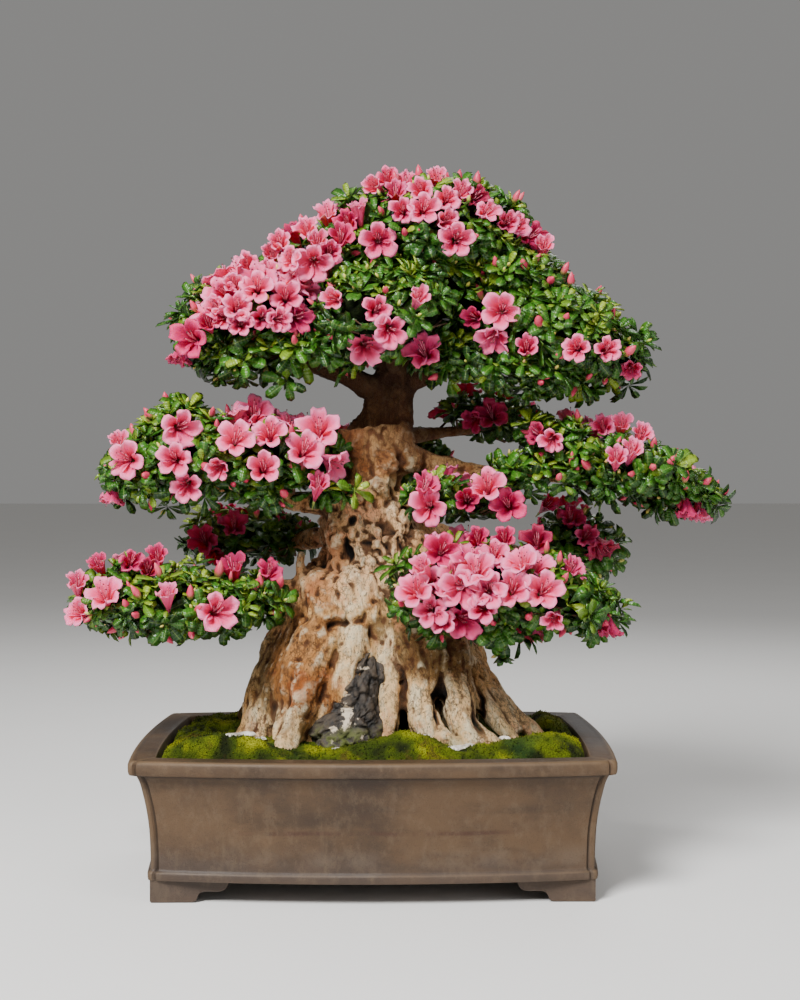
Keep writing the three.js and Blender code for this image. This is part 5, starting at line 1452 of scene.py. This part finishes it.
def petal_grid(variant, lobe):
    """One petal of a bloom of radius 1 that opens along Z, as a two-sided sheet."""
    wave = np.random.default_rng(100 * variant + lobe)
    shut = (0, 0, 0.1, 0.2, 0.35, 0.5)[variant % 6]
    wide, deep = 8, 7
    across, along = np.meshgrid(np.linspace(-1, 1, wide), np.linspace(0, 1, deep) ** 0.85)
    phase, ripple, flop = *wave.uniform(0, 6, 2), wave.normal(0, 0.1)
    reach = 1.08 - 0.34 * np.abs(across) ** 3.2 + 0.035 * np.sin(7 * across + phase)
    reach *= wave.uniform(0.9, 1.06)
    radius = 0.07 + (reach - 0.07) * along ** 1.15 * (1 - 0.5 * shut * along)
    middle = 2 * math.pi * lobe / 5 + wave.normal(0, 0.08)
    spreading = math.radians(35) + 0.24 * np.sin(math.pi * np.clip(along * 1.05, 0, 1))
    angle = middle + across * spreading
    depth = -0.92 * (1 - along) ** 1.5
    curl = -0.34 * (1 - shut) * np.clip(along - 0.7, 0, 1) ** 1.2
    cup = 0.15 * across ** 2 * np.sin(math.pi * along)
    frill = 0.1 * np.sin(6.2 * across + ripple + 3 * along) * along ** 2
    height = depth + curl + cup + frill + (0.08 * across + flop + 0.6 * shut) * along ** 1.5
    top = np.stack([radius * np.cos(angle), radius * np.sin(angle), height], axis=-1)
    sheet, count = top.reshape(-1, 3), wide * deep
    verts = np.concatenate([sheet, sheet - [0, 0, 0.028]])
    back = strips(deep, wide, closed=False) + count
    front = back[:, ::-1] - count
    edge = [*range(wide), *(r * wide + wide - 1 for r in range(1, deep)),
            *range(count - 2, count - wide - 1, -1), *(r * wide for r in range(deep - 2, 0, -1))]
    rim = []
    for i, a in enumerate(edge):
        b = edge[(i + 1) % len(edge)]
        rim += [(a, b, a + count), (b, b + count, a + count)]
    blotch = 1.0 if lobe == 0 else 0.0
    place = np.stack([across.ravel(), along.ravel(), np.full(count, blotch)], axis=1)
    return verts, np.concatenate([front, back, rim]), np.concatenate([place, place])


def bloom_template(variant):
    """A whole bloom: petals, stamens with their anthers, and the calyx and stalk."""
    heap = Heap()
    for lobe in range(5):
        verts, tris, place = petal_grid(variant, lobe)
        heap.add(verts, tris, 0, place)
    wave = np.random.default_rng(900 + variant)
    for k in range(6):
        turn = 2.4 * k + wave.uniform(0, 0.4)
        tip_out, tip_high = wave.uniform(0.12, 0.32), wave.uniform(-0.05, 0.2)
        if k == 0:
            tip_high = 0.34
        way = np.array([math.cos(turn), math.sin(turn), 0])
        start, bend = way * 0.03 + [0, 0, -0.9], way * tip_out * 0.45 + [0, 0, -0.4]
        tip = way * tip_out + [0.14, 0, tip_high]
        heap.add(*tube([(*start, 0.024), (*bend, 0.022), (*tip, 0.017)], 3, 4), index=1)
        bead = tube([(*(tip - [0, 0, 0.03]), 0.02), (*tip, 0.044), (*(tip + [0, 0, 0.05]), 0.015)],
                    4, 3)
        heap.add(*bead, index=2)
    heap.add(*tube([(0, 0, -1.3, 0.05), (0, 0.01, -1.12, 0.06), (0, 0, -1.02, 0.11),
                    (0, 0.01, -0.86, 0.09)], 5, 6), index=3)
    return [np.concatenate(part) for part in zip(*heap.parts)]


def companions():
    """Half-hidden blooms that fill the bunches, placed beside the others by rule."""
    tried = []
    for spray, rows in BLOOMS.items():
        tried += [(spray, np.array(row[:3]) + random.normal(0, 26, 3) * [1, 0.8, 1], 31)
                  for row in rows for _ in range(5) if row[7] == UNSEEN]
    for spray, x, y, z, wide, high, count in DRIFTS:
        tried += [(spray, np.array([x, y, z]) + random.uniform(-1, 1, 3) * [wide, 20, high], 23)
                  for _ in range(count * 10)]
    extra = {}
    every = bloom_arrays()[0].tolist()
    for spray, place, gap in tried:
        pad = min(pads_of(spray, PADS), key=lambda p: depth_in(p, place[None])[0])
        d = unit(within(pad, place[None]))
        points, normals = pad_points(pad, d, random.uniform(8, 16))
        gaps = np.linalg.norm(np.array(every) - points[0], axis=1)
        if gaps.min() < gap or depth_in_others(pad, points) < 1.05 or d[0, 2] < -0.35:
            continue
        way = unit(normals[0] + [0, -0.1, 0.1] + random.normal(0, 0.3, 3))
        every.append(points[0].tolist())
        extra.setdefault(spray, []).append(
            (*points[0], *bearing(way), random.uniform(20, 24.5), 24, 0))
    return extra


def make_blooms(blooms, templates):
    """One piece for each spray, which stands for its bunches in the frame."""
    bunches = [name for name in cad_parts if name.startswith("flowers_")]
    for spray, rows in blooms.items():
        heap = Heap()
        shaded = spray in SHADED
        for row in rows:
            deep = shaded or row[7] >= SHADE_PINK
            variant = random.integers(4, 6) if row[7] % SHADE_PINK == HALF_OPEN else random.integers(0, 4)
            verts, tris, _, place, indices = templates[variant]
            axis = heading(row[3], row[4])
            side = unit(np.cross([0, 0, 1.0], axis))
            up = np.cross(axis, side)
            # The template's +X points upwards, because the blotched petal is the top one.
            roll = random.normal(0, 0.3)
            x = math.cos(roll) * up + math.sin(roll) * side
            y = np.cross(axis, x)
            size = row[5] * 1.04
            long = row[6] / 0.95
            placed = (verts * [size, size, 1]) @ np.stack([x, y, np.zeros(3)])
            high = np.where(verts[:, 2] < 0, verts[:, 2] * long, verts[:, 2] * size)
            placed = placed + high[:, None] * axis + row[:3]
            # Blooms of shaded sprays and of the shade kinds get a low tone: painted shade that deepens their
            # pink.
            mean = -0.25 if shaded else 0.0 if deep else 0.6
            tone = float(np.clip(random.normal(mean, 0.2), -0.5, 1))
            for index in range(4):
                used, part = np.unique(tris[indices == index], return_inverse=True)
                heap.add(placed[used], part.reshape(-1, 3), tone, place[used], index)
        nodes = [n for n in bunches if n.rpartition("_")[0] == f"flowers_{spray}"]
        heap.piece(f"blooms_{spray}", [PETAL, STAMEN, ANTHER, CALYX], "petal", nodes)


def large_buds(heap, buds):
    """The large pink buds of the front."""
    for place, way in buds:
        size = random.uniform(0.85, 1.2)
        spindles(heap, (place - 6 * way)[None], way[None], [size], 19, 4.6, 7, 0.0)


def make_leaves(buds):
    for spray in SPRAYS:
        own = pads_of(spray)
        for pad in own:
            heap = Heap()
            places, ways = whorl_places(pad)
            add_leaves(heap, spray, places, ways)
            add_buds(heap, places, ways)
            if pad is own[0]:
                large_buds(heap, buds.get(spray, []))
            heap.piece(f"foliage_{pad[0]}", [LEAF, BUD], "leaf",
                       [f"leaves_{spray}"] if pad is own[0] else [])


# ---------------------------------------------------------------- stage


# Lights: name, place, aim, size and power, in metres and watts.
LIGHTS = [("key", (-1.1, -2.1, 2.4), (0, 0, 0.4), 1.1, 205),
          ("fill", (1.9, -1.7, 1.3), (0, 0, 0.35), 1.8, 18),
          ("back", (0.6, 2.0, 2.2), (0, 0, 0.5), 1.5, 24)]
FLOOR = 30


def make_stage():
    floor = bpy.data.meshes.new("floor")
    corners = [(x * FLOOR, y * FLOOR, 0) for x, y in ((-1, -1), (1, -1), (1, 1), (-1, 1))]
    floor.from_pydata(corners, [], [(0, 1, 2, 3)])
    n = Nodes("pale_floor")
    n.color = n.mix(n.noise(3), (0.8, 0.79, 0.77, 1), (0.84, 0.83, 0.81, 1))
    floor.materials.append(n.done(0.8))
    link("floor", floor)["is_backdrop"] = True
    world = bpy.data.worlds.new("studio")
    world.use_nodes = True
    color, strength = world.node_tree.nodes["Background"].inputs[:2]
    color.default_value, strength.default_value = (0.9, 0.89, 0.87, 1), 0.28
    bpy.context.scene.world = world
    for name, place, aim, size, power in LIGHTS:
        light = bpy.data.lights.new(name, "AREA")
        light.size, light.energy = size, power
        lamp = link(name, light)
        lamp.location = place
        lamp.rotation_euler = (Vector(aim) - Vector(place)).to_track_quat("-Z", "Y").to_euler()


def make_camera():
    data = bpy.data.cameras.new("camera")
    data.lens, data.sensor_width = 59.8, 36
    camera = link("camera", data)
    camera.location = metres(EYE)
    camera.rotation_euler = (math.radians(90 - 0.72), 0, -math.radians(0.62))
    bpy.context.scene.camera = camera


def dress(node, material):
    """Gives a CAD node that stays its material."""
    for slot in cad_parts[node].material_slots:
        slot.link = "OBJECT"
        slot.material = material


make_camera()
make_stage()
make_pot()
make_wood()
make_stone()
make_moss()
make_chips()
dress("soil", SOIL)
for screen in ("drain_screen_left", "drain_screen_right"):
    dress(screen, SCREEN)
templates = [bloom_template(variant) for variant in range(6)]
BLOOMS = blooms_behind()
seen, buds = front_blooms()
for spray, rows in seen.items():
    BLOOMS[spray] += rows
for spray, rows in companions().items():
    BLOOMS[spray] += rows
make_blooms(BLOOMS, templates)
make_leaves(buds)
make_pad_shade_cores()
make_twigs()

low, high = cad_box
new_low, new_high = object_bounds()
sizes = {
    "cad": {"low": list(low), "high": list(high)},
    "visual": {"low": list(new_low), "high": list(new_high)},
}
for box in sizes.values():
    box["size"] = [b - a for a, b in zip(box["low"], box["high"])]
